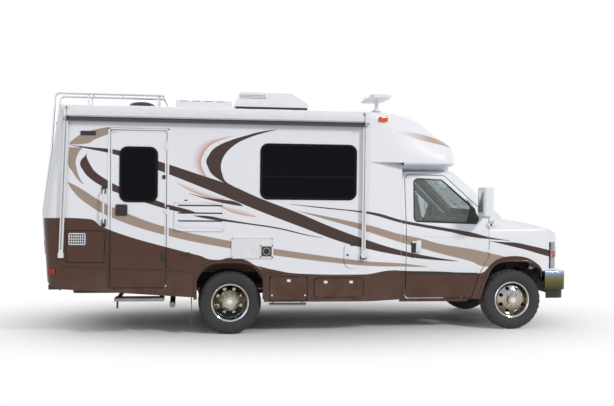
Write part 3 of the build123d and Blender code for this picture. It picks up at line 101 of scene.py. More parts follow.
def mathOf(tree, operation, first, second=None, clamp=False):
    node = addNode(tree, "ShaderNodeMath", operation=operation, use_clamp=clamp)
    plug(tree, node.inputs[0], first)
    if second is not None:
        plug(tree, node.inputs[1], second)
    return node.outputs[0]


def times(tree, first, second):
    return mathOf(tree, "MULTIPLY", first, second)


def ramp(tree, value, low, high, outLow=0.0, outHigh=1.0, smooth=False):
    node = addNode(tree, "ShaderNodeMapRange", interpolation_type="SMOOTHSTEP" if smooth else "LINEAR")
    for index, item in enumerate((value, low, high, outLow, outHigh)):
        plug(tree, node.inputs[index], item)
    return node.outputs[0]


def mixColour(tree, mask, first, second):
    node = addNode(tree, "ShaderNodeMix", data_type="RGBA")
    plug(tree, node.inputs[0], mask)
    plug(tree, node.inputs[6], first)
    plug(tree, node.inputs[7], second)
    return node.outputs[2]


def splitOf(tree, vector):
    return feed(tree, addNode(tree, "ShaderNodeSeparateXYZ"), {0: vector}).outputs


def noiseOf(tree, place, scale, detail=2):
    noise = addNode(tree, "ShaderNodeTexNoise")
    return feed(tree, noise, {"Vector": place, "Scale": scale, "Detail": detail}).outputs["Fac"]


def addBump(tree, shader, height, strength, distance=0.002):
    bump = feed(tree, addNode(tree, "ShaderNodeBump"),
                {"Strength": strength, "Distance": distance, "Height": height})
    plug(tree, shader.inputs["Normal"], bump.outputs[0])


def newGroup(name, inputs, outputs):
    group = bpy.data.node_groups.new(name, "ShaderNodeTree")
    for label, kind, value in inputs:
        socket = group.interface.new_socket(label, in_out="INPUT", socket_type=kind)
        if value is not None:
            socket.default_value = value
    for label, kind in outputs:
        group.interface.new_socket(label, in_out="OUTPUT", socket_type=kind)
    return group, addNode(group, "NodeGroupInput").outputs, addNode(group, "NodeGroupOutput")


def useGroup(tree, group, **values):
    return feed(tree, addNode(tree, "ShaderNodeGroup", node_tree=group), values).outputs


def makeFineGrain():
    # two sizes of noise: a mask for mottling and a height for bump
    group, start, end = newGroup("fineGrain",
                                 [("Place", "NodeSocketVector", None), ("Scale", "NodeSocketFloat", 60.0)],
                                 [("Mask", "NodeSocketFloat"), ("Height", "NodeSocketFloat")])
    broad = noiseOf(group, start["Place"], times(group, start["Scale"], 0.06), 4)
    fine = noiseOf(group, start["Place"], start["Scale"])
    feed(group, end, {"Mask": ramp(group, broad, 0.3, 0.7), "Height": fine})
    return group


def makeRoadDust():
    # thin dust that gathers low on the body
    group, start, end = newGroup("roadDust",
                                 [("Place", "NodeSocketVector", None), ("Top", "NodeSocketFloat", 0.9)],
                                 [("Mask", "NodeSocketFloat")])
    low = ramp(group, splitOf(group, start["Place"])["Z"], start["Top"], 0.25)
    patches = ramp(group, noiseOf(group, start["Place"], 5, 6), 0.35, 0.75)
    feed(group, end, {"Mask": times(group, low, patches)})
    return group


fineGrain = makeFineGrain()
roadDust = makeRoadDust()


def startMaterial(name):
    material = bpy.data.materials.new(name)
    material.use_nodes = True
    tree = material.node_tree
    tree.nodes.clear()
    output = addNode(tree, "ShaderNodeOutputMaterial")
    shader = addNode(tree, "ShaderNodeBsdfPrincipled")
    tree.links.new(shader.outputs[0], output.inputs[0])
    return material, tree, shader, addNode(tree, "ShaderNodeTexCoord").outputs


def dusted(tree, place, amount, shade):
    dust = useGroup(tree, roadDust, Place=place["Object"])["Mask"]
    return mixColour(tree, times(tree, dust, amount), shade, paint(*dustColour))


def finish(name, colour, roughness=0.5, metallic=0.0, coat=0.0, grain=200.0, bump=0.05, mottle=0.06,
           spread=0.08, dust=0.0, specular=0.5):
    material, tree, shader, place = startMaterial(name)
    grains = useGroup(tree, fineGrain, Place=place["Object"], Scale=grain)
    shade = mixColour(tree, grains["Mask"], paint(*colour, 1 - mottle), paint(*colour))
    if dust:
        shade = dusted(tree, place, dust, shade)
    feed(tree, shader, {
        "Base Color": shade, "Metallic": metallic, "Coat Weight": coat, "Coat Roughness": 0.06,
        "Specular IOR Level": specular,
        "Roughness": ramp(tree, grains["Mask"], 0, 1, max(roughness - spread, 0.02),
                          min(roughness + spread, 1))})
    addBump(tree, shader, grains["Height"], bump)
    return material


stripeBands = {
    # painted in this order; a level band has its edges as z along x, an upright one as x along z
    "topSwoosh": {"shade": "taupe", "soft": 0.006,
        "bottom": [(-2.84, 2.190), (-2.65, 2.202), (-2.56, 2.249), (-2.45, 2.297), (-2.37, 2.327),
                   (-2.15, 2.365), (-1.95, 2.395)],
        "top": [(-2.84, 2.205), (-2.78, 2.262), (-2.73, 2.297), (-2.62, 2.345), (-2.51, 2.375),
                (-2.40, 2.393), (-1.95, 2.399)]},
    "lowerSweep": {"shade": "taupe", "soft": 0.006,
        "bottom": [(-2.86, 1.768), (-2.78, 1.639), (-2.67, 1.538), (-2.37, 1.364), (-1.72, 1.155),
                   (-1.01, 1.013), (-0.08, 0.879), (0.64, 0.808), (1.03, 0.787), (1.40, 0.779)],
        "top": [(-2.86, 1.768), (-2.72, 1.696), (-2.50, 1.557), (-2.19, 1.411), (-1.73, 1.253),
                (-1.01, 1.100), (-0.08, 0.950), (0.64, 0.861), (1.03, 0.829), (1.40, 0.785)]},
    "cabSweep": {"shade": "taupe", "soft": 0.008,
        "bottom": [(-0.25, 1.461), (0.03, 1.381), (0.47, 1.259), (0.64, 1.207), (1.03, 1.089),
                   (1.32, 1.009), (1.612, 0.931), (1.944, 0.850), (2.15, 0.783), (2.30, 0.800),
                   (2.46, 0.850)],
        "top": [(-0.25, 1.461), (0.03, 1.410), (0.47, 1.325), (0.64, 1.290), (1.03, 1.186), (1.319, 1.126),
                (1.559, 1.063), (1.814, 1.022), (1.993, 0.993), (2.199, 0.949), (2.46, 0.892)]},
    "leftCrescent": {"shade": "taupe", "soft": 0.006,
        "outer": [(1.742, -2.69), (1.798, -2.75), (1.888, -2.81), (1.955, -2.85), (2.060, -2.85),
                  (2.159, -2.84)],
        "inner": [(1.742, -2.68), (1.844, -2.74), (1.923, -2.76), (1.991, -2.77), (2.070, -2.75),
                  (2.159, -2.69)]},
    "sprayCrescent": {"shade": "salmon", "soft": 0.004, "fade": 1,
        "outer": [(1.830, -1.38), (1.920, -1.44), (2.012, -1.47), (2.116, -1.46), (2.197, -1.42),
                  (2.256, -1.33), (2.300, -1.15), (2.320, -1.00)],
        "inner": [(1.830, -1.28), (1.869, -1.31), (1.932, -1.34), (2.013, -1.36), (2.106, -1.33),
                  (2.170, -1.29), (2.235, -1.21), (2.286, -1.09), (2.320, -0.98)]},
    "wisp": {"shade": "salmon", "soft": 0.008, "fade": -1,
        "bottom": [(-1.644, 1.780), (-1.531, 1.705), (-1.349, 1.623), (-1.166, 1.579), (-1.075, 1.591)],
        "top": [(-1.644, 1.786), (-1.486, 1.735), (-1.281, 1.669), (-1.075, 1.602)]},
    "wispSecond": {"shade": "salmon", "soft": 0.008, "fade": -1,
        "bottom": [(-1.37, 1.565), (-1.143, 1.499), (-0.982, 1.427), (-0.706, 1.376)],
        "top": [(-1.37, 1.570), (-1.143, 1.527), (-0.937, 1.496), (-0.706, 1.387)]},
    "hookCrescent": {"shade": "umber", "soft": 0.004,
        "outer": [(1.428, -1.57), (1.472, -1.77), (1.544, -2.01), (1.633, -2.27), (1.716, -2.47),
                  (1.834, -2.64), (1.901, -2.69), (1.957, -2.72), (2.014, -2.71), (2.060, -2.67),
                  (2.106, -2.64)],
        "inner": [(1.428, -1.41), (1.457, -1.49), (1.518, -1.73), (1.574, -1.89), (1.713, -2.27),
                  (1.774, -2.39), (1.891, -2.56), (1.948, -2.60), (2.004, -2.63), (2.060, -2.65),
                  (2.106, -2.64)]},
    "bigCrescent": {"shade": "umber", "soft": 0.004,
        "outer": [(1.740, -1.02), (1.825, -1.17), (1.882, -1.24), (1.956, -1.28), (2.025, -1.30),
                  (2.095, -1.27), (2.154, -1.23), (2.213, -1.15), (2.267, -1.03), (2.342, -0.80),
                  (2.373, -0.69), (2.407, -0.49)],
        "inner": [(1.740, -0.98), (1.800, -1.08), (1.866, -1.11), (1.947, -1.13), (2.028, -1.12),
                  (2.110, -1.08), (2.187, -1.01), (2.252, -0.92), (2.307, -0.80), (2.356, -0.66),
                  (2.407, -0.47)]},
    "mainBand": {"shade": "umber", "soft": 0.004,
        "bottom": [(-2.84, 2.183), (-2.62, 2.140), (-2.38, 2.094), (-2.26, 2.061), (-1.85, 1.913),
                   (-1.37, 1.729), (-1.03, 1.594), (-0.68, 1.452), (-0.20, 1.273), (0.34, 1.081),
                   (0.62, 1.010), (1.03, 0.926), (1.30, 0.883), (1.80, 0.848)],
        "top": [(-2.84, 2.187), (-2.62, 2.163), (-2.38, 2.145), (-2.26, 2.124), (-1.85, 2.016),
                (-1.38, 1.868), (-1.05, 1.762), (-0.68, 1.604), (-0.20, 1.426), (0.15, 1.281),
                (0.61, 1.117), (1.03, 0.992), (1.30, 0.932), (1.80, 0.852)]},
    "thinLine": {"shade": "umber", "soft": 0.003,
        "bottom": [(-1.449, 1.391), (-1.301, 1.360), (-1.095, 1.329), (-0.82, 1.295), (-0.472, 1.245),
                   (-0.079, 1.161), (0.08, 1.138)],
        "top": [(-1.449, 1.393), (-1.278, 1.390), (-1.096, 1.357), (-0.82, 1.313), (-0.473, 1.262),
                (-0.079, 1.171), (0.08, 1.142)]},
    "rightLine": {"shade": "umber", "soft": 0.003,
        "bottom": [(-0.32, 1.534), (0.03, 1.493), (0.46, 1.452), (0.65, 1.421), (1.07, 1.315),
                   (1.36, 1.262), (1.71, 1.203), (1.96, 1.148), (2.18, 1.124), (2.45, 1.103)],
        "top": [(-0.32, 1.538), (0.03, 1.506), (0.46, 1.468), (0.65, 1.451), (1.07, 1.352), (1.36, 1.299),
                (1.71, 1.246), (1.96, 1.204), (2.18, 1.149), (2.45, 1.107)]},
    "fenderDart": {"shade": "umber", "soft": 0.004,
        "bottom": [(2.19, 1.098), (2.32, 1.069), (2.45, 1.039), (2.64, 0.996), (2.84, 0.940),
                   (2.99, 0.903)],
        "top": [(2.19, 1.101), (2.38, 1.088), (2.51, 1.082), (2.71, 1.045), (2.99, 0.984)]},
    "wispLow": {"shade": "umber", "soft": 0.006,
        "bottom": [(-1.496, 1.648), (-1.303, 1.587), (-1.098, 1.540), (-0.937, 1.512), (-0.868, 1.504)],
        "top": [(-1.496, 1.652), (-1.28, 1.600), (-1.098, 1.579), (-0.983, 1.564), (-0.868, 1.508)]}}
stripeShades = {"taupe": (166, 147, 131), "umber": (63, 42, 37), "salmon": (206, 156, 140)}
capSwoosh = {
    # fading swoosh on the cap over the cab, drawn as the level bands are
    "shade": (186, 164, 144), "soft": 0.01, "fadeIn": (0.95, 1.45),
    "bottom": [(0.90, 2.412), (1.14, 2.361), (1.36, 2.312), (1.58, 2.276), (1.80, 2.225)],
    "top": [(0.90, 2.429), (1.14, 2.417), (1.36, 2.388), (1.58, 2.342), (1.80, 2.235)]}
lowerBody = {
    # where the brown of the lower body ends, z along x
    "edge": [(-3.25, 1.345), (-2.62, 1.345), (-2.50, 1.272), (-2.19, 1.153), (-1.77, 1.034), (-1.37, 0.931),
             (-1.16, 0.880), (-1.005, 0.905), (-0.69, 0.809), (-0.43, 0.750), (-0.28, 0.725), (0.60, 0.708),
             (0.64, 0.712), (0.97, 0.745), (1.08, 0.735), (1.60, 0.722), (2.05, 0.700), (2.11, 0.712),
             (2.15, 0.745), (2.227, 0.826), (2.329, 0.886), (2.432, 0.910), (2.535, 0.914), (2.64, 0.901),
             (2.745, 0.862), (2.824, 0.806), (2.877, 0.745), (2.93, 0.66), (3.25, 0.62)],
    "ends": (-3.25, 3.25), "heights": (0.6, 1.4), "soft": 0.004, "metal": 0.35,
    "shade": (62, 38, 29), "glint": (98, 64, 50), "flakes": 900}
liningFacts = {
    # inner faces: lined in the coach and the cab, dark past the firewall, plain on the mirrors
    "shade": (196, 182, 160), "engineBay": (46, 46, 48), "firewallX": 2.36, "mirrorX": 1.95, "mirrorY": 1.06}


def floatCurve(tree, factor, points, lowX, highX, lowZ, highZ):
    node = addNode(tree, "ShaderNodeFloatCurve")
    curve = node.mapping.curves[0]
    scaled = [((x - lowX) / (highX - lowX), (z - lowZ) / (highZ - lowZ)) for x, z in points]
    while len(curve.points) < len(scaled):
        curve.points.new(0.5, 0.5)
    for point, (x, z) in zip(curve.points, sorted(scaled)):
        point.location = (x, z)
    node.mapping.update()
    plug(tree, node.inputs["Value"], factor)
    return mathOf(tree, "ADD", times(tree, node.outputs[0], highZ - lowZ), lowZ)


def bandMask(tree, along, across, lowEdge, highEdge, soft, fade=0):
    # 1 between the edges, 0 outside; fade 1 thins towards the low edge, -1 towards the high one
    lowX, highX = lowEdge[0][0], lowEdge[-1][0]
    heights = [row[1] for row in lowEdge + highEdge]
    lowZ, highZ = min(heights) - 0.01, max(heights) + 0.01
    factor = ramp(tree, along, lowX, highX)
    low = floatCurve(tree, factor, lowEdge, lowX, highX, lowZ, highZ)
    high = floatCurve(tree, factor, highEdge, lowX, highX, lowZ, highZ)
    fromLow = mathOf(tree, "SUBTRACT", across, low)
    toHigh = mathOf(tree, "SUBTRACT", high, across)
    rise = ramp(tree, fromLow, -soft / 2, soft / 2)
    if fade:
        span = mathOf(tree, "MAXIMUM", mathOf(tree, "SUBTRACT", high, low), 0.001)
        share = mathOf(tree, "DIVIDE", fromLow if fade > 0 else toHigh, span, clamp=True)
        rise = times(tree, mathOf(tree, "POWER", share, 1.4), rise)
    mask = times(tree, rise, ramp(tree, toHigh, -soft / 2, soft / 2))
    ends = times(tree, mathOf(tree, "GREATER_THAN", along, lowX + 0.001),
                 mathOf(tree, "LESS_THAN", along, highX - 0.001))
    return times(tree, mask, ends)


def innerLining(group, x, y, outward, colour):
    facts = liningFacts
    inside = ramp(group, outward, -0.35, -0.45)
    beyond = mathOf(group, "GREATER_THAN", mathOf(group, "ABSOLUTE", y), facts["mirrorY"])
    onMirror = times(group, mathOf(group, "GREATER_THAN", x, facts["mirrorX"]), beyond)
    inside = times(group, inside, mathOf(group, "SUBTRACT", 1, onMirror))
    lining = mixColour(group, mathOf(group, "GREATER_THAN", x, facts["firewallX"]), paint(*facts["shade"]),
                       paint(*facts["engineBay"]))
    return mixColour(group, inside, colour, lining)


def makeLivery():
    group, start, end = newGroup("liveryPaint",
                                 [("Place", "NodeSocketVector", None), ("Facing", "NodeSocketVector", None)],
                                 [("Color", "NodeSocketColor"), ("Plain", "NodeSocketColor"),
                                  ("Metal", "NodeSocketFloat")])
    x, y, z = splitOf(group, start["Place"])
    outward = times(group, splitOf(group, start["Facing"])[1], mathOf(group, "SIGN", y))
    onSide = ramp(group, outward, 0.18, 0.26)
    colour = paint(*topColour)
    for band in stripeBands.values():
        if "outer" in band:
            places = (z, x, band["outer"], band["inner"])
        else:
            places = (x, z, band["bottom"], band["top"])
        mask = bandMask(group, *places, band["soft"], band.get("fade", 0))
        colour = mixColour(group, times(group, mask, onSide), colour, paint(*stripeShades[band["shade"]]))
    mask = bandMask(group, x, z, capSwoosh["bottom"], capSwoosh["top"], capSwoosh["soft"])
    mask = times(group, mask, ramp(group, x, *capSwoosh["fadeIn"]))
    mask = times(group, mask, ramp(group, outward, 0.03, 0.10))
    colour = mixColour(group, mask, colour, paint(*capSwoosh["shade"]))
    factor = ramp(group, x, *lowerBody["ends"])
    edge = floatCurve(group, factor, lowerBody["edge"], *lowerBody["ends"], *lowerBody["heights"])
    soft = lowerBody["soft"] / 2
    low = ramp(group, mathOf(group, "SUBTRACT", edge, z), -soft, soft)
    flake = noiseOf(group, start["Place"], lowerBody["flakes"])
    brown = mixColour(group, ramp(group, flake, 0.42, 0.68), paint(*lowerBody["shade"]),
                      paint(*lowerBody["glint"]))
    colour = mixColour(group, low, colour, brown)
    feed(group, end, {"Color": innerLining(group, x, y, outward, colour),
                      "Plain": mixColour(group, low, paint(*topColour), brown),
                      "Metal": times(group, low, lowerBody["metal"])})
    return group


liveryPaint = makeLivery()


def paintedBody(name, dust=0.15, output="Color"):
    material, tree, shader, place = startMaterial(name)
    livery = useGroup(tree, liveryPaint, Place=place["Object"], Facing=place["Normal"])
    grains = useGroup(tree, fineGrain, Place=place["Object"], Scale=55)
    feed(tree, shader, {
        "Base Color": dusted(tree, place, dust, livery[output]), "Metallic": livery["Metal"],
        "Roughness": ramp(tree, grains["Mask"], 0, 1, 0.24, 0.34),
        "Specular IOR Level": 0.3, "Coat Weight": 0.25, "Coat Roughness": 0.05})
    addBump(tree, shader, grains["Height"], 0.02)
    return material


def tintedPane(name, colour, clear, roughness=0.03, specular=0.5):
    # closed panes: dark where clear is low, see-through where it is high
    material, tree, shader, place = startMaterial(name)
    grains = useGroup(tree, fineGrain, Place=place["Object"], Scale=18)
    feed(tree, shader, {
        "Base Color": mixColour(tree, grains["Mask"], paint(*colour, 0.9), paint(*colour)),
        "Roughness": ramp(tree, grains["Mask"], 0, 1, roughness, roughness + 0.02),
        "Transmission Weight": clear, "Specular IOR Level": specular, "IOR": 1.46})
    return material


def reflectionPaintedMetal(name, rows, axis="Normal"):
    # plated metal with a painted sky and ground reflection, ramped by the way it faces up or down, or by
    # height where axis is "Object"
    material, tree, shader, place = startMaterial(name)
    low, high = rows[0][0], rows[-1][0]
    paintedReflectionStops = addNode(tree, "ShaderNodeValToRGB")
    plug(tree, paintedReflectionStops.inputs[0], ramp(tree, splitOf(tree, place[axis])["Z"], low, high))
    elements = paintedReflectionStops.color_ramp.elements
    for value, colour in rows:
        position = (value - low) / (high - low)
        stop = elements.new(position) if low < value < high else elements[0 if value == low else -1]
        stop.position = position
        stop.color = paint(*colour)
    # painted shade: darker where the surface is seen side-on
    facing = feed(tree, addNode(tree, "ShaderNodeLayerWeight"), {"Blend": 0.5}).outputs["Facing"]
    edge = ramp(tree, facing, 0.25, 0.95, 0, 0.55, smooth=True)
    grains = useGroup(tree, fineGrain, Place=place["Object"], Scale=40)
    feed(tree, shader, {"Base Color": mixColour(tree, edge, paintedReflectionStops.outputs["Color"], paint(64, 60, 56)),
                        "Roughness": ramp(tree, grains["Mask"], 0, 1, 0.10, 0.16), "Metallic": 1})
    return material


def tyreRubber(name, centreX):
    # moulded rings round the wheel's own middle, worn grey on the tread
    material, tree, shader, place = startMaterial(name)
    mapping = feed(tree, addNode(tree, "ShaderNodeMapping"),
                   {"Location": (-centreX, 0, -wheelZ), "Vector": place["Object"]})
    fromHub = splitOf(tree, mapping.outputs[0])
    squares = [mathOf(tree, "POWER", fromHub[axis], 2) for axis in "XZ"]
    reach = mathOf(tree, "SQRT", mathOf(tree, "ADD", *squares))
    rings = times(tree, mathOf(tree, "SINE", times(tree, reach, 900)),
                  mathOf(tree, "LESS_THAN", reach, 0.345))
    grains = useGroup(tree, fineGrain, Place=place["Object"], Scale=120)
    shade = mixColour(tree, grains["Mask"], paint(40, 40, 42), paint(54, 53, 54))
    feed(tree, shader, {"Base Color": mixColour(tree, ramp(tree, reach, 0.352, 0.368), shade,
                                                paint(70, 68, 66)),
                        "Roughness": ramp(tree, grains["Mask"], 0, 1, 0.62, 0.85)})
    addBump(tree, shader, mathOf(tree, "ADD", times(tree, rings, 0.3), grains["Height"]), 0.35)
    return material


def woodGrain(name, light, dark):
    material, tree, shader, place = startMaterial(name)
    mapping = feed(tree, addNode(tree, "ShaderNodeMapping"), {"Scale": (1, 1, 9), "Vector": place["Object"]})
    wave = feed(tree, addNode(tree, "ShaderNodeTexWave", bands_direction="Z"),
                {"Scale": 1.2, "Distortion": 6, "Detail": 4, "Vector": mapping.outputs[0]}).outputs["Fac"]
    feed(tree, shader, {"Base Color": mixColour(tree, wave, paint(*dark), paint(*light)),
                        "Roughness": ramp(tree, wave, 0, 1, 0.35, 0.5)})
    return material


def wovenCloth(name, colour):
    material, tree, shader, place = startMaterial(name)
    warp, weft = (feed(tree, addNode(tree, "ShaderNodeTexWave", bands_direction=axis),
                       {"Scale": 42, "Vector": place["Object"]}).outputs["Fac"] for axis in "XZ")
    threads = times(tree, warp, weft)
    grains = useGroup(tree, fineGrain, Place=place["Object"], Scale=90)
    shade = mixColour(tree, grains["Mask"], paint(*colour, 0.8), paint(*colour))
    feed(tree, shader, {"Base Color": mixColour(tree, times(tree, threads, 0.3), shade,
                                                paint(*colour, 0.55)),
                        "Roughness": ramp(tree, threads, 0, 1, 0.8, 0.95), "Sheen Weight": 0.3})
    addBump(tree, shader, threads, 0.3, 0.001)
    return material


coachPaint = paintedBody("coachPaint")
roofSkin = finish("roofSkin", (236, 237, 240), 0.45, grain=90)
whitePlastic = finish("whitePlastic", (236, 237, 240), 0.38, coat=0.1)
blackPlastic = finish("blackPlastic", (26, 26, 28), mottle=0.2)
blackRubber = finish("blackRubber", (22, 22, 23), 0.7, mottle=0.25)
gloveBlack = finish("gloveBlack", (9, 9, 11), 0.3, mottle=0.1, specular=0.15)
chassisBlack = finish("chassisBlack", (34, 34, 36), 0.6, mottle=0.3, dust=0.6)
castIron = finish("castIron", (70, 68, 66), 0.65, metallic=0.6, grain=70, bump=0.4, mottle=0.35, dust=0.5)
chrome = finish("chrome", (222, 224, 228), 0.08, metallic=1, bump=0.0, mottle=0.03, spread=0.03)
aluminium = finish("aluminium", (206, 208, 212), 0.28, metallic=1, grain=300)
steelGrey = finish("steelGrey", (150, 148, 144), 0.35, metallic=1, grain=120, mottle=0.2, dust=0.3)
skirtBrown = paintedBody("skirtBrown", dust=0.25)
trimPaint = paintedBody("trimPaint", output="Plain")
mirrorSilver = finish("mirrorSilver", (232, 236, 238), 0.3, metallic=1)
# painted shade for the underside of the awning case
awningShadeGrey = finish("awningShadeGrey", (92, 92, 102), 0.8, grain=500, bump=0.2)
smokedPlastic = finish("smokedPlastic", (20, 26, 40), 0.15, coat=0.4, mottle=0.2)
# painted reflection: olive ground where the rims face down, blue-white sky where they face up
wheelChrome = reflectionPaintedMetal("wheelChrome", [
    (-1, (66, 58, 42)), (-0.35, (118, 106, 84)), (0.02, (178, 170, 152)), (0.40, (138, 148, 170)),
    (1, (226, 233, 244))])
# painted reflection by height: dark ground low on the bumper, olive in the middle, blue-white sky at the top
bumperChrome = reflectionPaintedMetal("bumperChrome", [
    (0.38, (46, 44, 40)), (0.50, (70, 66, 48)), (0.60, (104, 98, 66)), (0.66, (126, 122, 104)),
    (0.69, (128, 146, 186)), (0.73, (206, 216, 236))], axis="Object")
tankPlastic = finish("tankPlastic", (44, 44, 46), 0.6, mottle=0.2, dust=0.5)
dashPlastic = finish("dashPlastic", (96, 90, 82), 0.6, grain=400, bump=0.3, mottle=0.1)
frontRubber = tyreRubber("frontRubber", frontAxleX)
rearRubber = tyreRubber("rearRubber", rearAxleX)
seatCloth = wovenCloth("seatCloth", (150, 136, 116))
dinetteCloth = wovenCloth("dinetteCloth", (142, 116, 90))
cabinetWood = woodGrain("cabinetWood", (150, 100, 58), (104, 62, 32))
floorWood = woodGrain("floorWood", (138, 104, 70), (96, 66, 40))
coachGlass = tintedPane("coachGlass", (8, 11, 18), 0.0, 0.02, 0.08)
cabGlass = tintedPane("cabGlass", (214, 225, 226), 0.94, 0.0, 0.2)
lampLens = tintedPane("lampLens", (232, 236, 240), 0.6, 0.04)
redLens = tintedPane("redLens", (196, 24, 20), 0.15, 0.12)
amberLens = tintedPane("amberLens", (236, 104, 20), 0.1, 0.12)
print("materials made")

bodyNodes = frame["record"]["behaviour"]["bodies"]
materialSlots = {entry["node"]: entry["material_slot"] for entry in frame["record"]["subparts"]}
trimSlots = {
    # slot of a piece added here, by the name of its material
    "coachPaint": "body_white", "trimPaint": "body_white", "skirtBrown": "skirt_brown",
    "whitePlastic": "white_plastic", "smokedPlastic": "white_plastic", "blackPlastic": "dash_plastic",
    "blackRubber": "dash_plastic", "gloveBlack": "tinted_glass", "chrome": "bumper_chrome",
    "mirrorSilver": "bumper_chrome", "aluminium": "ladder_aluminium", "steelGrey": "exhaust_steel",
    "castIron": "exhaust_steel", "amberLens": "lamp_lens", "redLens": "lamp_lens"}


def bodyOf(node):
    return next(body for body, members in bodyNodes.items() if node in members)


def closePiece(name, mesh, materials, body="vehicle", slot=None, smooth=30):
    limit = math.radians(smooth)
    for face in mesh.faces:
        face.smooth = True
    for edge in mesh.edges:
        edge.smooth = len(edge.link_faces) == 2 and edge.calc_face_angle(0) < limit
    data = bpy.data.meshes.new(name)
    mesh.to_mesh(data)
    mesh.free()
    piece = bpy.data.objects.new(name, data)
    bpy.context.scene.collection.objects.link(piece)
    for material in materials if isinstance(materials, list) else [materials]:
        data.materials.append(material)
    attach(piece, body)
    slot or trimSlots[data.materials[0].name]
    return piece


def mergedNode(node, flat=True):
    # a copy of a CAD node's triangles with its doubles merged and, where flat is set, its flat faces joined
    work = bmesh.new()
    work.from_mesh(frame["nodes"][node].data)
    bmesh.ops.remove_doubles(work, verts=work.verts, dist=0.00003)
    if flat:
        bmesh.ops.dissolve_limit(work, angle_limit=math.radians(0.6), verts=work.verts, edges=work.edges)
    return work


def cutAcross(work, place, normal):
    whole = work.verts[:] + work.edges[:] + work.faces[:]
    return bmesh.ops.bisect_plane(work, geom=whole, dist=0.00001, plane_co=place, plane_no=normal)


def dressedCopy(node, materials, choose=None, bevel=0.0, drop=None):
    # choose picks a material and drop leaves a face out, both by the face's middle
    work = mergedNode(node)
    if drop:
        left = [face for face in work.faces if drop(face.calc_center_median())]
        bmesh.ops.delete(work, geom=left, context="FACES")
    if choose:
        for face in work.faces:
            face.material_index = int(choose(face.calc_center_median()))
    piece = closePiece(node + ".dressed", work, materials, bodyOf(node), materialSlots[node], 28)
    if bevel:
        modifier = piece.modifiers.new("softEdges", "BEVEL")
        modifier.width = bevel
        modifier.segments = 2
        modifier.limit_method = "ANGLE"
        modifier.angle_limit = math.radians(40)
        modifier.harden_normals = True
    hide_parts(node)


def isEntryStep(place):
    return -2.34 < place.x < -1.74 and place.y < -1.03 and place.z > 0.40


# the awning case's underside, which takes the painted shade
def isAwningRoll(place):
    return 2.45 < place.z < 2.4985 and -2.85 < place.x < 0.53


def panelFinish(place):
    # the left panels and the heater door, then what is painted with the body, then the high rear vent
    if place.y > 0 or -1.02 < place.x < -0.45:
        return 0
    return 2 if place.x < -2.4 else 1


plainLooks = {
    # node: material, bevel width
    "hitch_receiver": (chassisBlack, 0), "front_axle": (castIron, 0.003), "rear_axle": (castIron, 0.003),
    "powertrain": (castIron, 0.004), "tanks": (tankPlastic, 0.006), "exhaust": (steelGrey, 0),
    "coach_floor": (floorWood, 0), "coach_wall_right": (coachPaint, 0), "coach_wall_left": (coachPaint, 0),
    "skirt_right": (skirtBrown, 0.002), "skirt_left": (skirtBrown, 0.002), "coach_roof": (roofSkin, 0),
    "rear_cap": (coachPaint, 0), "cab_shell": (coachPaint, 0), "front_end": (coachPaint, 0),
    "front_bumper": (bumperChrome, 0.006), "furniture": (cabinetWood, 0.003),
    "dashboard": (dashPlastic, 0.006), "ladder_and_rack": (aluminium, 0),
    "roof_air_conditioner": (whitePlastic, 0.01),
    "entry_door": (coachPaint, 0.002), "entry_door_glass": (coachGlass, 0),
    "cab_door_right": (coachPaint, 0.002), "cab_door_left": (coachPaint, 0.002),
    "cab_glass_right": (cabGlass, 0), "cab_glass_left": (cabGlass, 0), "hood": (coachPaint, 0.003),
    "rear_locker_door": (skirtBrown, 0.003), "front_locker_door": (skirtBrown, 0.003),
    "left_locker_door": (skirtBrown, 0.003), "gas_locker_door": (coachPaint, 0.003),
    "knuckle_right": (castIron, 0.002), "knuckle_left": (castIron, 0.002),
    "front_rim_right": (wheelChrome, 0.001), "front_rim_left": (wheelChrome, 0.001),
    "rear_rims_right": (wheelChrome, 0.001), "rear_rims_left": (wheelChrome, 0.001)}
for node, (material, bevel) in plainLooks.items():
    dressedCopy(node, [material], bevel=bevel)
dressedCopy("fixed_glass", [coachGlass, cabGlass], lambda place: place.x > 1.2)
dressedCopy("chassis_frame", [chassisBlack, steelGrey], isEntryStep)
dressedCopy("awning", [whitePlastic, awningShadeGrey], isAwningRoll, 0.003)
dressedCopy("grille", [chrome, blackPlastic], lambda place: place.z < 0.55, 0.002)
dressedCopy("roof_vents", [whitePlastic], bevel=0.008, drop=lambda place: place.x < -1.85)
dressedCopy("service_panels", [whitePlastic, coachPaint, blackPlastic], panelFinish, 0.002)
dressedCopy("lamps", [lampLens, redLens], lambda place: place.x < 0)

capForm = {
    # how far the cap over the cab is rounded off between its top and its sides
    "start": 0.625, "full": 1.60, "strength": 0.78, "lip": 2.045,
    "top": [(0.625, 2.722), (0.955, 2.715), (1.325, 2.630), (1.945, 2.175)],
    "half": [(0.625, 1.181), (0.995, 1.141), (1.735, 1.000), (1.945, 0.950)]}


def alongRow(rows, x):
    for (lowX, low), (highX, high) in zip(rows, rows[1:]):
        if x <= highX:
            return low + (high - low) * max(x - lowX, 0) / (highX - lowX)
    return rows[-1][1]


def roundedCap(place):
    # a square section drawn in towards a round one, more so towards the nose
    if place.x <= capForm["start"] or place.z <= capForm["lip"]:
        return place
    step = min((place.x - capForm["start"]) / (capForm["full"] - capForm["start"]), 1)
    pull = capForm["strength"] * step * step * (3 - 2 * step)
    rise = place.z - capForm["lip"]
    across = min(abs(place.y) / alongRow(capForm["half"], place.x), 1)
    upward = min(rise / (alongRow(capForm["top"], place.x) - capForm["lip"]), 1)
    return Vector((place.x, place.y * math.sqrt(1 - pull * upward ** 2 / 2),
                   capForm["lip"] + rise * math.sqrt(1 - pull * across ** 2 / 2)))


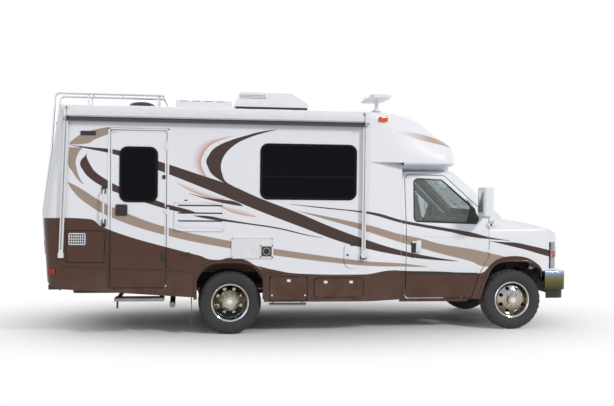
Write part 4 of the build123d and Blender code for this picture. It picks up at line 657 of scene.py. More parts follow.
def dressCap():
    # cut into a grid first, so that the rounding has points to move
    work = mergedNode("front_cap")
    for index in range(21):
        cutAcross(work, (0.70 + index * 0.06, 0, 0), (1, 0, 0))
    for index in range(23):
        cutAcross(work, (0, -1.10 + index * 0.10, 0), (0, 1, 0))
    for index in range(12):
        cutAcross(work, (0, 0, 2.0451 + index * 0.055), (0, 0, 1))
    bmesh.ops.triangulate(work, faces=work.faces)
    for vert in work.verts:
        vert.co = roundedCap(vert.co)
    bmesh.ops.recalc_face_normals(work, faces=work.faces)
    piece = closePiece("front_cap.dressed", work, coachPaint, "vehicle", materialSlots["front_cap"], 28)
    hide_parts("front_cap")
    return piece


dressedCap = dressCap()
print("frame dressed")


# small builders that add to a bmesh
def addPart(target, part):
    data = bpy.data.meshes.new("part")
    part.to_mesh(data)
    part.free()
    target.from_mesh(data)
    bpy.data.meshes.remove(data)


def softenEdges(part, edges, width, segments=2):
    bmesh.ops.bevel(part, geom=edges, offset=width, offset_type="OFFSET", segments=segments, profile=0.5,
                    affect="EDGES", material=-1)


def spanOf(edge, number):
    return abs((edge.verts[0].co - edge.verts[1].co)[number])


def slabPart(low, high, corner=0.0, edge=0.0, axis="y", segments=5):
    # a slab with rounded corners seen along the axis, and softened rims
    part = bmesh.new()
    verts = bmesh.ops.create_cube(part, size=1)["verts"]
    low, high = Vector(map(min, low, high)), Vector(map(max, low, high))
    bmesh.ops.scale(part, vec=high - low, verts=verts)
    bmesh.ops.translate(part, vec=(high + low) / 2, verts=verts)
    number = "xyz".index(axis)
    if corner:
        softenEdges(part, [e for e in part.edges if spanOf(e, number) > 1e-6], corner, segments)
    if edge:
        softenEdges(part, [e for e in part.edges if spanOf(e, number) < 1e-6], edge)
    return part


def slab(target, low, high, corner=0.0, edge=0.0, axis="y"):
    addPart(target, slabPart(low, high, corner, edge, axis))


def ring(target, low, high, corner, width, edge=0.0, axis="y", segments=6):
    # a slab with its middle taken out, such as a window frame
    part = slabPart(low, high, corner, 0, axis, segments)
    number = "xyz".index(axis)
    ends = [f for f in part.faces if abs(f.normal[number]) > 0.99]
    bmesh.ops.inset_individual(part, faces=ends, thickness=width, use_even_offset=True)
    rims = [e for f in ends for e in f.edges]
    bmesh.ops.delete(part, geom=ends, context="FACES_ONLY")
    bmesh.ops.bridge_loops(part, edges=rims)
    if edge:
        sharp = [e for e in part.edges if len(e.link_faces) == 2 and e.calc_face_angle(0) > math.radians(60)
                 and spanOf(e, number) < 1e-6]
        softenEdges(part, sharp, edge)
    bmesh.ops.recalc_face_normals(part, faces=part.faces)
    addPart(target, part)


def spunPart(profile, centre, axis="y", steps=40):
    # profile rows are (along the axis, out from it)
    part = bmesh.new()
    along = Vector([float(letter == axis) for letter in "xyz"])
    out = Vector((0, 0, 1)) if axis != "z" else Vector((1, 0, 0))
    verts = [part.verts.new(along * a + out * r) for a, r in profile]
    edges = [part.edges.new(pair) for pair in zip(verts, verts[1:])]
    bmesh.ops.spin(part, geom=verts + edges, cent=(0, 0, 0), axis=along, angle=math.tau, steps=steps,
                   use_merge=True)
    bmesh.ops.remove_doubles(part, verts=part.verts, dist=0.00002)
    bmesh.ops.recalc_face_normals(part, faces=part.faces)
    bmesh.ops.translate(part, vec=Vector(centre), verts=part.verts)
    return part


def spun(target, profile, centre, axis="y", steps=40):
    addPart(target, spunPart(profile, centre, axis, steps))


def pin(target, start, end, radius, segments=12, tip=None):
    # a short rod, or a cone where tip is given
    start, end = Vector(start), Vector(end)
    part = bmesh.new()
    bmesh.ops.create_cone(part, cap_ends=True, segments=segments, radius1=radius,
                          radius2=radius if tip is None else tip, depth=(end - start).length)
    turn = (end - start).to_track_quat("Z", "Y").to_matrix().to_4x4()
    bmesh.ops.transform(part, matrix=Matrix.Translation((start + end) / 2) @ turn, verts=part.verts)
    addPart(target, part)


def bar(target, points, radius, segments=3, cyclic=False, bend=0.0):
    # a round bar along points, its corners rounded where bend is given
    curve = bpy.data.curves.new("bar", "CURVE")
    curve.dimensions = "3D"
    curve.bevel_depth = radius
    curve.bevel_resolution = segments
    curve.use_fill_caps = not cyclic
    if bend:
        points = roundCorners([Vector(p) for p in points], bend)
    spline = curve.splines.new("POLY")
    spline.points.add(len(points) - 1)
    for point, place in zip(spline.points, points):
        point.co = (*place, 1)
    spline.use_cyclic_u = cyclic
    holder = bpy.data.objects.new("bar", curve)
    data = bpy.data.meshes.new_from_object(holder)
    target.from_mesh(data)
    bpy.data.objects.remove(holder)
    bpy.data.curves.remove(curve)
    bpy.data.meshes.remove(data)


def roundCorners(points, radius, steps=5):
    smooth = [points[0]]
    for before, corner, after in zip(points, points[1:], points[2:]):
        first = (before - corner).normalized() * min(radius, (before - corner).length * 0.49)
        last = (after - corner).normalized() * min(radius, (after - corner).length * 0.49)
        for index in range(steps + 1):
            t = index / steps
            smooth.append(corner + first * (1 - t) ** 2 + last * t ** 2)
    smooth.append(points[-1])
    return smooth


def thickPlate(mesh, corners, thickness):
    # a flat plate from its corners, pushed out sideways
    face = mesh.faces.new([mesh.verts.new(corner) for corner in corners])
    grown = bmesh.ops.extrude_face_region(mesh, geom=[face])
    moved = [item for item in grown["geom"] if isinstance(item, bmesh.types.BMVert)]
    bmesh.ops.translate(mesh, vec=(0, thickness, 0), verts=moved)
    bmesh.ops.recalc_face_normals(mesh, faces=mesh.faces)


def addWall(piece, thickness):
    modifier = piece.modifiers.new("wall", "SOLIDIFY")
    modifier.thickness = thickness
    modifier.offset = -1


def loopsOf(work, edges):
    # the closed chains of vertices along a set of edges
    work.edges.index_update()
    left = set(edges)
    while left:
        edge = min(left, key=lambda item: item.index)
        left.discard(edge)
        chain = list(edge.verts)
        while True:
            following = [link for link in chain[-1].link_edges if link in left]
            if not following:
                break
            left.discard(following[0])
            chain.append(following[0].other_vert(chain[-1]))
        yield [vert.co.copy() for vert in chain[:-1]]


def rimBead(node, facing, radius, name, inset=0.0, only=None):
    # a rubber bead round the outer face of a pane
    work = mergedNode(node, flat=False)
    outer = {f for f in work.faces if f.normal.dot(Vector(facing)) > 0.55 and (only is None or only(f))}
    rims = [e for e in work.edges if len([f for f in e.link_faces if f in outer]) == 1]
    mesh = bmesh.new()
    for places in loopsOf(work, rims):
        middle = sum(places, Vector()) / len(places)
        if len(places) > 5:
            drawnIn = [place + (middle - place).normalized() * inset for place in places]
            bar(mesh, drawnIn, radius, 2, cyclic=True)
    work.free()
    closePiece(name, mesh, blackRubber, bodyOf(node), smooth=60)


# window frames on the coach sides
windows = {
    # low x, high x, low z, high z, side
    "bigWindow": (fromAxle(0.335), fromAxle(1.475), 1.590, 2.240, -1),
    "galleyWindow": (fromAxle(-0.300), fromAxle(0.620), 1.590, 2.150, 1),
    "bathWindow": (fromAxle(-1.500), fromAxle(-1.050), 1.750, 2.150, 1)}
windowTrim = {"overlap": 0.004, "width": 0.030, "proud": 0.007, "corner": 0.092, "barHeight": 0.010}


def coachWindows():
    for name, (lowX, highX, lowZ, highZ, side) in windows.items():
        mesh = bmesh.new()
        y = side * (wallY + 0.0003)
        grow = windowTrim["overlap"]
        ring(mesh, (lowX - grow, y, lowZ - grow),
             (highX + grow, y + side * windowTrim["proud"], highZ + grow),
             windowTrim["corner"], windowTrim["width"], 0.002)
        split = lowZ + (highZ - lowZ) * 0.41
        slab(mesh, (lowX + 0.02, side * (wallY - 0.006), split - windowTrim["barHeight"]),
             (highX - 0.02, y + side * 0.003, split + windowTrim["barHeight"]), 0.0, 0.002)
        middle = (lowX + highX) / 2
        slab(mesh, (middle - 0.008, side * (wallY - 0.006), lowZ + 0.02), (middle + 0.008, y, split),
             0, 0.002)
        closePiece(name + "Frame", mesh, gloveBlack)


coachWindows()

# entry door: window ring, edge trim, lock, hold-back and grab handle
doorFacts = {"lowX": fromAxle(-1.375), "highX": fromAxle(-0.748), "lowZ": 0.560, "highZ": 2.360,
             "face": -1.186, "gap": 0.009,
             "window": (fromAxle(-1.275), fromAxle(-0.848), 1.545, 2.175),
             "handle": (-2.325, -2.190, 1.385, 1.515)}


def entryDoorTrim():
    face = doorFacts["face"] - 0.0003
    mesh = bmesh.new()
    lowX, highX, lowZ, highZ = doorFacts["window"]
    ring(mesh, (lowX - 0.004, face, lowZ - 0.004), (highX + 0.004, face - 0.008, highZ + 0.004), 0.09, 0.030,
         0.002)
    closePiece("doorWindowRing", mesh, gloveBlack, "entry_door")
    mesh = bmesh.new()
    ring(mesh, (doorFacts["lowX"] + 0.001, face, doorFacts["lowZ"] + 0.001),
         (doorFacts["highX"] - 0.001, face - 0.003, doorFacts["highZ"] - 0.001), 0.03, 0.016, 0.001)
    closePiece("doorEdgeTrim", mesh, trimPaint, "entry_door")
    mesh = bmesh.new()
    lowX, highX, lowZ, highZ = doorFacts["handle"]
    slab(mesh, (lowX, face, lowZ), (highX, face - 0.010, highZ), 0.018, 0.003)
    slab(mesh, (lowX + 0.03, face - 0.010, lowZ + 0.055), (highX - 0.012, face - 0.026, highZ - 0.03), 0.012,
         0.004)
    pin(mesh, (lowX + 0.035, face - 0.009, lowZ + 0.028), (lowX + 0.035, face - 0.016, lowZ + 0.028), 0.012)
    closePiece("doorLock", mesh, blackPlastic, "entry_door")
    mesh = bmesh.new()
    slab(mesh, (-1.798, face, 1.812), (-1.762, face - 0.012, 1.856), 0.006, 0.003)
    slab(mesh, (-1.815, face, 0.872), (-1.762, face - 0.006, 0.968), 0.005, 0.002)
    closePiece("doorHoldBack", mesh, blackPlastic, "entry_door")


def doorFrame():
    # frame and drip rail on the wall
    mesh = bmesh.new()
    outer = -wallY - 0.0003
    low, high = doorFacts["lowX"] - doorFacts["gap"], doorFacts["highX"] + doorFacts["gap"]
    for lowX, highX, lowZ, highZ in ((low - 0.022, low, 0.56, 2.385), (high, high + 0.022, 0.80, 2.385),
                                     (low - 0.022, doorFacts["highX"] + 0.03, 2.369, 2.385)):
        slab(mesh, (lowX, outer, lowZ), (highX, outer - 0.007, highZ), 0.002, 0.002)
    slab(mesh, (doorFacts["lowX"] - 0.04, outer, 2.389), (doorFacts["highX"] + 0.06, outer - 0.016, 2.401),
         0.003, 0.003)
    closePiece("doorFrame", mesh, trimPaint)


def grabHandle():
    mesh = bmesh.new()
    outer = -wallY - 0.0003
    grabX = -2.455
    bar(mesh, [(grabX, outer, 1.30), (grabX, outer - 0.055, 1.315), (grabX, outer - 0.055, 1.665),
               (grabX, outer, 1.68)], 0.011, 4, bend=0.03)
    closePiece("grabBar", mesh, whitePlastic, smooth=50)
    mesh = bmesh.new()
    for z in (1.30, 1.68):
        slab(mesh, (grabX - 0.024, outer, z - 0.045), (grabX + 0.024, outer - 0.016, z + 0.045), 0.012,
             0.004)
    closePiece("grabFeet", mesh, blackPlastic)


entryDoorTrim()
doorFrame()
grabHandle()


# louvred panels, hatches and small vents, outward from each CAD panel's face
def refrigeratorPanel():
    face = -wallY - 0.0095
    mesh = bmesh.new()
    ring(mesh, (fromAxle(-0.655), face, 1.210), (fromAxle(-0.080), face - 0.004, 1.560), 0.014, 0.022, 0.002)
    for z in (1.33, 1.421, 1.509):
        slab(mesh, (-1.618, face, z + 0.008), (-1.108, face - 0.006, z + 0.024), 0.003, 0.003)
    slab(mesh, (-1.618, face, 1.25), (-1.108, face - 0.003, 1.30), 0.004, 0.002)
    closePiece("refrigeratorVent", mesh, coachPaint, slot="white_plastic")
    mesh = bmesh.new()
    for z in (1.33, 1.421, 1.509):
        slab(mesh, (-1.616, face, z - 0.007), (-1.110, face - 0.0012, z + 0.008), 0.003)
    slab(mesh, (-1.545, face, 1.555), (-1.51, face - 0.002, 1.575), 0.004)
    closePiece("ventSlots", mesh, blackPlastic)


def heaterPanel():
    face = -wallY - 0.0085
    mesh = bmesh.new()
    ring(mesh, (fromAxle(0.005), face, 0.895), (fromAxle(0.495), face - 0.004, 1.145), 0.014, 0.014, 0.002)
    ring(mesh, (-0.668, face, 0.905), (-0.514, face - 0.005, 1.055), 0.008, 0.016, 0.002)
    pin(mesh, (-0.76, face, 1.01), (-0.76, face - 0.006, 1.01), 0.012)
    closePiece("heaterDoor", mesh, whitePlastic)
    mesh = bmesh.new()
    slab(mesh, (-0.655, face, 0.917), (-0.527, face - 0.002, 1.043), 0.006)
    closePiece("heaterGrille", mesh, castIron)
    mesh = bmesh.new()
    spun(mesh, [(0.0, 0.030), (-0.007, 0.034), (-0.007, 0.046), (0.0, 0.050)],
         (-0.591, face - 0.002, 0.980), "y", 32)
    for x in (-0.641, -0.541):
        for z in (0.931, 1.029):
            pin(mesh, (x, face - 0.002, z), (x, face - 0.005, z), 0.005)
    closePiece("heaterFlue", mesh, steelGrey)
    mesh = bmesh.new()
    pin(mesh, (-0.591, face - 0.002, 0.980), (-0.591, face - 0.004, 0.980), 0.032, 24)
    closePiece("heaterMouth", mesh, blackPlastic)


def hatchAndVents():
    # oval hatch beside the front window, and the small black vents
    face = -wallY - 0.0105
    mesh = bmesh.new()
    ring(mesh, (fromAxle(1.340), face, 0.785), (fromAxle(1.528), face - 0.004, 1.105), 0.089, 0.014, 0.002,
         segments=8)
    slab(mesh, (0.39, face, 0.86), (0.475, face - 0.003, 1.02), 0.03, 0.002)
    closePiece("ovalHatch", mesh, coachPaint, slot="white_plastic")
    mesh = bmesh.new()
    slab(mesh, (0.405, face - 0.003, 1.048), (0.492, face, 1.068), 0.006, 0.001)
    pin(mesh, (0.372, face, 0.94), (0.372, face - 0.006, 0.94), 0.012)
    face = -wallY - 0.0085
    for index in range(3):
        slab(mesh, (-2.708, face, 2.305 + index * 0.012), (-2.556, face - 0.002, 2.311 + index * 0.012),
             0.002)
    for index in range(4):
        slab(mesh, (-1.586, face, 0.921 + index * 0.013), (-1.481, face - 0.002, 0.929 + index * 0.013),
             0.002)
    closePiece("smallVents", mesh, blackPlastic)


def leftInlets():
    mesh = bmesh.new()
    face = wallY + 0.0085
    ring(mesh, (fromAxle(-1.400), face, 0.950), (fromAxle(-1.180), face + 0.004, 1.200), 0.014, 0.016, 0.002)
    pin(mesh, (fromAxle(-1.29), face, 1.12), (fromAxle(-1.29), face + 0.008, 1.12), 0.035, 24)
    pin(mesh, (fromAxle(-1.29), face, 1.02), (fromAxle(-1.29), face + 0.008, 1.02), 0.025, 24)
    ring(mesh, (fromAxle(0.900), face + 0.001, 1.000), (fromAxle(1.250), face + 0.005, 1.330), 0.012, 0.020,
         0.002)
    for index in range(7):
        slab(mesh, (fromAxle(0.93), face + 0.001, 1.035 + index * 0.04),
             (fromAxle(1.22), face + 0.006, 1.05 + index * 0.04), 0.003, 0.002)
    closePiece("leftInlets", mesh, whitePlastic)


refrigeratorPanel()
heaterPanel()
hatchAndVents()
leftInlets()


def gasDoorTrim():
    # the gas door's frame and its bright grille
    face = -wallY - 0.0053
    mesh = bmesh.new()
    ring(mesh, (fromAxle(-1.858), face, 0.852), (fromAxle(-1.442), face - 0.003, 1.206), 0.012, 0.012, 0.001)
    closePiece("gasDoorTrim", mesh, coachPaint, "gas_locker_door")
    mesh = bmesh.new()
    ring(mesh, (-2.842, face, 1.049), (-2.653, face - 0.006, 1.185), 0.008, 0.012, 0.002)
    for index in range(3):
        slab(mesh, (-2.834, face, 1.083 + index * 0.030), (-2.661, face - 0.004, 1.091 + index * 0.030),
             0.002)
    for index in range(6):
        slab(mesh, (-2.812 + index * 0.0245, face, 1.058), (-2.805 + index * 0.0245, face - 0.0045, 1.176),
             0.002)
    closePiece("gasDoorGrille", mesh, aluminium, "gas_locker_door")
    mesh = bmesh.new()
    slab(mesh, (-2.833, face, 1.058), (-2.662, face - 0.0015, 1.176), 0.002)
    closePiece("gasDoorMesh", mesh, blackPlastic, "gas_locker_door")


lockers = {
    # low x, high x, low z, high z, side, corner radius, latches' x
    "rear_locker_door": (fromAxle(0.455), fromAxle(0.905), 0.404, 0.682, -1, 0.012, (fromAxle(0.680),)),
    "front_locker_door": (fromAxle(0.985), fromAxle(1.575), 0.440, 0.665, -1, 0.040, (0.114, 0.420)),
    "left_locker_door": (fromAxle(0.985), fromAxle(1.575), 0.410, 0.680, 1, 0.012, (0.114, 0.420))}


def lockerTrim():
    for body, (lowX, highX, lowZ, highZ, side, corner, latches) in lockers.items():
        face = side * (wallY + 0.0053)
        mesh = bmesh.new()
        ring(mesh, (lowX + 0.001, face, lowZ + 0.001), (highX - 0.001, face + side * 0.004, highZ - 0.001),
             corner, 0.014, 0.0015)
        closePiece(body + ".edge", mesh, skirtBrown, body)
        mesh = bmesh.new()
        if body == "rear_locker_door":
            for x in (lowX + 0.03, highX - 0.03):
                pin(mesh, (x, face, lowZ + 0.06), (x, face + side * 0.005, lowZ + 0.06), 0.010)
        for x in latches:
            slab(mesh, (x - 0.022, face, highZ - 0.062), (x + 0.022, face + side * 0.009, highZ - 0.03),
                 0.006, 0.002)
            pin(mesh, (x, face + side * 0.009, highZ - 0.046), (x, face + side * 0.012, highZ - 0.046),
                0.008)
        closePiece(body + ".latches", mesh, chrome, body)


gasDoorTrim()
lockerTrim()


def awningTrim():
    # grooves and black feet on the two arms, seams on the case and its end caps
    groove = bmesh.new()
    for start, end, width in (((-2.873, 2.49), (-2.923, 0.996), 0.014),
                              ((0.560, 2.49), (0.560, 0.996), 0.010)):
        half = width / 2
        flat = [(start[0] - half, start[1]), (start[0] + half, start[1]), (end[0] + half, end[1]),
                (end[0] - half, end[1])]
        thickPlate(groove, [(x, -1.2256, z) for x, z in flat], -0.0008)
    closePiece("armGrooves", groove, steelGrey)
    mesh = bmesh.new()
    for x in (-2.932, 0.560):
        slab(mesh, (x - 0.036, -1.1815, 0.890), (x + 0.036, -1.228, 0.925), 0.006, 0.003)
    for x in (-2.866, 0.560):
        slab(mesh, (x - 0.040, -1.1815, 2.468), (x + 0.040, -1.232, 2.482), 0.004, 0.003)
    closePiece("armFeet", mesh, blackPlastic)
    mesh = bmesh.new()
    for x in (-2.8595, 0.5405):
        slab(mesh, (x - 0.0012, -1.20, 2.470), (x + 0.0012, -1.3085, 2.614), axis="x")
    slab(mesh, (-2.855, -1.3066, 2.5085), (0.535, -1.3078, 2.5105))
    closePiece("awningSeams", mesh, blackPlastic)


awningTrim()


def mouldings():
    y = -wallY - 0.001
    for name, points, body in (
            ("rearMoulding", [(-2.93, y, 0.806), (-2.392, y, 0.777)], "vehicle"),
            ("doorMoulding", [(-2.372, y - 0.005, 0.776), (-1.762, y - 0.005, 0.764)], "entry_door"),
            ("midMoulding", [(-1.742, y, 0.764), (-1.44, y, 0.741)], "vehicle"),
            ("frontMoulding", [(-0.575, y, 0.722), (0.62, y, 0.712)], "vehicle")):
        mesh = bmesh.new()
        bar(mesh, points, 0.007, 2)
        closePiece(name, mesh, skirtBrown, body, smooth=60)
    for name, side in (("right", -1), ("left", 1)):
        mesh = bmesh.new()
        low, high, y = fromAxle(-0.408), fromAxle(0.392), side * (wallY + 0.001)
        arch = [(low, y, 0.42), (low, y, 0.857), (high, y, 0.857), (high, y, 0.42)]
        bar(mesh, roundCorners([Vector(p) for p in arch], 0.40, 12), 0.019, 4)
        closePiece("rearArch." + name, mesh, skirtBrown, smooth=60)
    # tube slung under the first locker
    mesh = bmesh.new()
    bar(mesh, [(-0.545, -1.10, 0.352), (-0.105, -1.10, 0.350)], 0.016, 3)
    for x in (-0.50, -0.15):
        slab(mesh, (x - 0.012, -1.106, 0.350), (x + 0.012, -1.094, 0.386), 0.002)
    closePiece("lockerTube", mesh, steelGrey, smooth=50)


mouldings()


surfaceTrees = {}


def surfacePoint(node, ray):
    # where a ray, given as its start and its direction, meets a CAD node, and the normal there
    if node not in surfaceTrees:
        source = dressedCap.data if node == "front_cap" else frame["nodes"][node].data
        corners = [vert.co.copy() for vert in source.vertices]
        surfaceTrees[node] = BVHTree.FromPolygons(corners,
                                                  [tuple(face.vertices) for face in source.polygons])
    start, way = ray
    return surfaceTrees[node].ray_cast(Vector(start), Vector(way).normalized())[:2]


# rays from well outside towards the vehicle
def sideRay(x, side, z):
    return (x, side * 2, z), (0, -side, 0)


def frontRay(y, z):
    return (4, y, z), (-1, 0, 0)


def rearRay(y, z):
    return (-4, y, z), (1, 0, 0)


def downRay(x, y):
    return (x, y, 2.6), (0, 0, -1)


def tracedPoints(node, rays):
    spots = [surfacePoint(node, ray)[0] for ray in rays]
    return [spot for spot in spots if spot is not None]


def seatedSlab(mesh, node, ray, width, height, thickness, corner=0.004, edge=0.002):
    # a small slab laid on a node's surface where the ray meets it
    place, normal = surfacePoint(node, ray)
    if place is None:
        return
    across = Vector((0, 0, 1)).cross(normal).normalized()
    upright = normal.cross(across).normalized()
    part = slabPart((-width / 2, 0.0004, -height / 2), (width / 2, thickness, height / 2), corner, edge)
    turn = Matrix((across, normal, upright)).transposed().to_4x4()
    bmesh.ops.transform(part, matrix=Matrix.Translation(place) @ turn, verts=part.verts)
    bmesh.ops.recalc_face_normals(part, faces=part.faces)
    addPart(mesh, part)


def coolerTrim():
    # louvres of the air conditioner's shroud, and a black strip as painted shade in the gap under it
    mesh = bmesh.new()
    for side in (-1, 1):
        for row in range(3):
            for index in range(11):
                ray = sideRay(-0.862 + index * 0.030 + row * 0.006, side, 2.896 - row * 0.020)
                seatedSlab(mesh, "roof_air_conditioner", ray, 0.020, 0.009, 0.003, 0.003, 0.001)
        # painted shade: a black strip in the gap under the shroud
        slab(mesh, (-0.925, side * 0.337, 2.703), (-0.015, side * 0.342, 2.746), 0.004)
    for index in range(8):
        ray = frontRay(0, 2.74 + index * 0.014)
        seatedSlab(mesh, "roof_air_conditioner", ray, 0.36, 0.006, 0.003, 0.001, 0.001)
    closePiece("coolerLouvres", mesh, blackPlastic)


def roofVentTrim():
    # slots along the skylight, and the rear vent's smoked dome on its flange
    mesh = bmesh.new()
    for index in range(4):
        seatedSlab(mesh, "roof_vents", sideRay(-1.568 + index * 0.152, -1, 2.792), 0.10, 0.007, 0.003, 0.003,
                   0.001)
    closePiece("skylightSlots", mesh, blackPlastic)
    mesh = bmesh.new()
    dome = [(0.0, 0.164), (0.030, 0.160), (0.050, 0.142), (0.066, 0.112), (0.077, 0.070), (0.082, 0.030),
            (0.083, 0.0)]
    spun(mesh, dome, (-2.085, -0.27, 2.706), "z", 48)
    closePiece("ventDome", mesh, smokedPlastic, smooth=50)
    mesh = bmesh.new()
    slab(mesh, (-2.255, -0.44, 2.690), (-1.915, -0.10, 2.716), 0.03, 0.005, axis="z")
    closePiece("ventFlange", mesh, whitePlastic)


def aerialTrim():
    mesh = bmesh.new()
    spun(mesh, [(0.0, 0.070), (0.006, 0.068), (0.012, 0.050), (0.030, 0.034)], (0.875, -0.38, 2.716),
         "z", 28)
    closePiece("aerialFoot", mesh, whitePlastic)


tailFacts = {"lampY": 0.93, "lampHalf": 0.056, "lampZ": (0.922, 1.098), "plateY": 0.45, "markerZ": 2.44}


def markers():
    mesh = bmesh.new()
    for side in (-1, 1):
        seatedSlab(mesh, "front_cap", sideRay(0.788, side, 2.556), 0.115, 0.062, 0.022, 0.02, 0.006)
    for index in range(5):
        seatedSlab(mesh, "front_cap", frontRay(-0.44 + index * 0.22, 2.40), 0.10, 0.032, 0.014, 0.014, 0.005)
    closePiece("amberMarkers", mesh, amberLens)
    mesh = bmesh.new()
    for side in (-1, 1):
        seatedSlab(mesh, "rear_cap", sideRay(-3.028, side, 0.745), 0.10, 0.060, 0.016, 0.015, 0.004)
        seatedSlab(mesh, "rear_cap", rearRay(side * 0.62, 0.66), 0.10, 0.05, 0.012, 0.01, 0.003)
    for y in (0.07, 0.25, 0.43, -0.92, 0.92):
        seatedSlab(mesh, "rear_cap", rearRay(y, tailFacts["markerZ"]), 0.09, 0.03, 0.014, 0.012, 0.004)
    closePiece("redMarkers", mesh, redLens)


def tailTrim():
    # blank plate, its lamp, and rims round the tail lamps
    mesh = bmesh.new()
    seatedSlab(mesh, "rear_cap", rearRay(tailFacts["plateY"], 0.98), 0.31, 0.16, 0.004, 0.012, 0.001)
    closePiece("plateRear", mesh, whitePlastic)
    mesh = bmesh.new()
    seatedSlab(mesh, "rear_cap", rearRay(tailFacts["plateY"], 1.085), 0.07, 0.03, 0.02, 0.008, 0.004)
    closePiece("plateLamp", mesh, blackPlastic)
    mesh = bmesh.new()
    half = tailFacts["lampHalf"]
    lowZ, highZ = tailFacts["lampZ"]
    for side in (-1, 1):
        y = side * tailFacts["lampY"]
        place = surfacePoint("rear_cap", rearRay(y, 0.91))[0]
        if place is not None:
            ring(mesh, (place.x - 0.006, y - half, lowZ), (place.x + 0.002, y + half, highZ),
                 0.012, 0.008, 0.001, axis="x")
    closePiece("tailLampRims", mesh, chrome)


coolerTrim()
roofVentTrim()
aerialTrim()
markers()
tailTrim()


def cabDoorTrim(side, name, door):
    rimBead("cab_glass_" + name, (0, side, 0), 0.013, "doorGlassBead." + name, -0.004)
    # handle in its recess, with the lock under it
    mesh = bmesh.new()
    seatedSlab(mesh, door, sideRay(1.235, side, 1.025), 0.080, 0.145, 0.006, 0.016, 0.003)
    place, normal = surfacePoint(door, sideRay(1.214, side, 0.905))
    pin(mesh, place, place + normal * 0.006, 0.013, 20)
    closePiece("doorRecess." + name, mesh, blackPlastic, door)
    mesh = bmesh.new()
    seatedSlab(mesh, door, sideRay(1.283, side, 1.030), 0.066, 0.150, 0.026, 0.014, 0.007)
    seatedSlab(mesh, door, sideRay(1.250, side, 1.085), 0.10, 0.022, 0.020, 0.008, 0.004)
    closePiece("doorPull." + name, mesh, whitePlastic, door)
    # crease along the door
    mesh = bmesh.new()
    rays = [sideRay(1.15 + index * (2.165 - 1.15) / 13, side, 1.166 - 0.034 * index / 13)
            for index in range(14)]
    bar(mesh, tracedPoints(door, rays), 0.004, 2)
    closePiece("doorCrease." + name, mesh, coachPaint, door, smooth=60)
    # dark strip along the rocker
    mesh = bmesh.new()
    low, high, steps = 1.165, 2.10, 16
    step = (high - low) / steps
    for index in range(steps):
        ray = sideRay(low + step * (index + 0.5), side, 0.712 - 0.018 * index / steps)
        seatedSlab(mesh, door, ray, step + 0.002, 0.022, 0.006, 0.0, 0.001)
    closePiece("rockerStrip." + name, mesh, blackPlastic, door)


sailCorners = [(1.925, 1.640), (1.962, 1.600), (1.985, 1.500), (2.052, 1.392), (2.050, 1.352),
               (2.010, 1.312), (1.930, 1.318), (1.905, 1.345), (1.950, 1.500), (1.915, 1.600)]


def mirrorTrim(side, name, door):
    # glass and a seam round the shell
    y = side * 1.2075
    mesh = bmesh.new()
    slab(mesh, (1.996, y - 0.095, 1.455), (1.9985, y + 0.095, 1.73), 0.02, 0.0008, axis="x")
    closePiece("mirrorGlass." + name, mesh, mirrorSilver, door)
    mesh = bmesh.new()
    ring(mesh, (1.9955, y - 0.108, 1.425), (2.0005, y + 0.108, 1.75), 0.026, 0.013, 0.001, axis="x")
    closePiece("mirrorRim." + name, mesh, whitePlastic, door)
    # black sail at the glass's front corner, where the mirror's arms are bolted
    mesh = bmesh.new()
    corners = []
    for x, z in sailCorners:
        ray = sideRay(x, side, z)
        found = tracedPoints(door, [ray]) + tracedPoints("cab_glass_" + name, [ray])
        if found:
            corners.append(max(found, key=lambda spot: abs(spot.y)) + Vector((0, side * 0.001, 0)))
    thickPlate(mesh, corners, side * 0.012)
    closePiece("mirrorSail." + name, mesh, blackPlastic, door)


def fenderTrim(side, name):
    # lip of the front wheel arch
    corners = [(3.040, 0.30), (3.148, 0.606), (3.245, 0.856), (3.840, 0.856), (3.909, 0.566)]
    arch = roundCorners([Vector((fromAxle(distance), 0, z)) for distance, z in corners], 0.24, 8)
    mesh = bmesh.new()
    bar(mesh, tracedPoints("front_end", [sideRay(spot.x, side, spot.z) for spot in arch]), 0.016, 3)
    closePiece("frontArch." + name, mesh, skirtBrown, smooth=60)


soffitFacts = {
    # rays fan out from the middle; the lip's profile is (inwards, height)
    "middle": (1.20, 0, 0), "sweep": 220, "steps": 60, "lipZ": 2.058, "roofZ": 1.955, "backX": 1.064,
    "roll": [(-0.0008, 2.064), (-0.0008, 2.046), (0.006, 2.034), (0.018, 2.024), (0.036, 2.018),
             (0.060, 2.017)]}


def soffitSpots():
    # rows of the direction outwards, the point on the cap's lip and the point on the cab's roof
    spots = []
    for index in range(soffitFacts["steps"] + 1):
        turn = math.radians((index / soffitFacts["steps"] - 0.5) * soffitFacts["sweep"])
        way = Vector((math.cos(turn), math.sin(turn), 0))
        start = Vector(soffitFacts["middle"]) + way * 3
        lip = surfacePoint("front_cap", (start + Vector((0, 0, soffitFacts["lipZ"])), -way))[0]
        roof = surfacePoint("cab_shell", (start + Vector((0, 0, soffitFacts["roofZ"])), -way))[0]
        if lip is not None and roof is not None and lip.x >= soffitFacts["backX"] + 0.004:
            spots.append((way, lip, roof))
    for side in (-1, 1):
        lip = surfacePoint("front_cap", sideRay(soffitFacts["backX"], side, soffitFacts["lipZ"]))[0]
        roof = surfacePoint("cab_shell",
                            sideRay(soffitFacts["backX"] + 0.014, side, soffitFacts["roofZ"]))[0]
        if lip is not None and roof is not None:
            roof.x = soffitFacts["backX"]
            spots.insert(0 if side < 0 else len(spots), (Vector((0, side, 0)), lip, roof))
    return spots


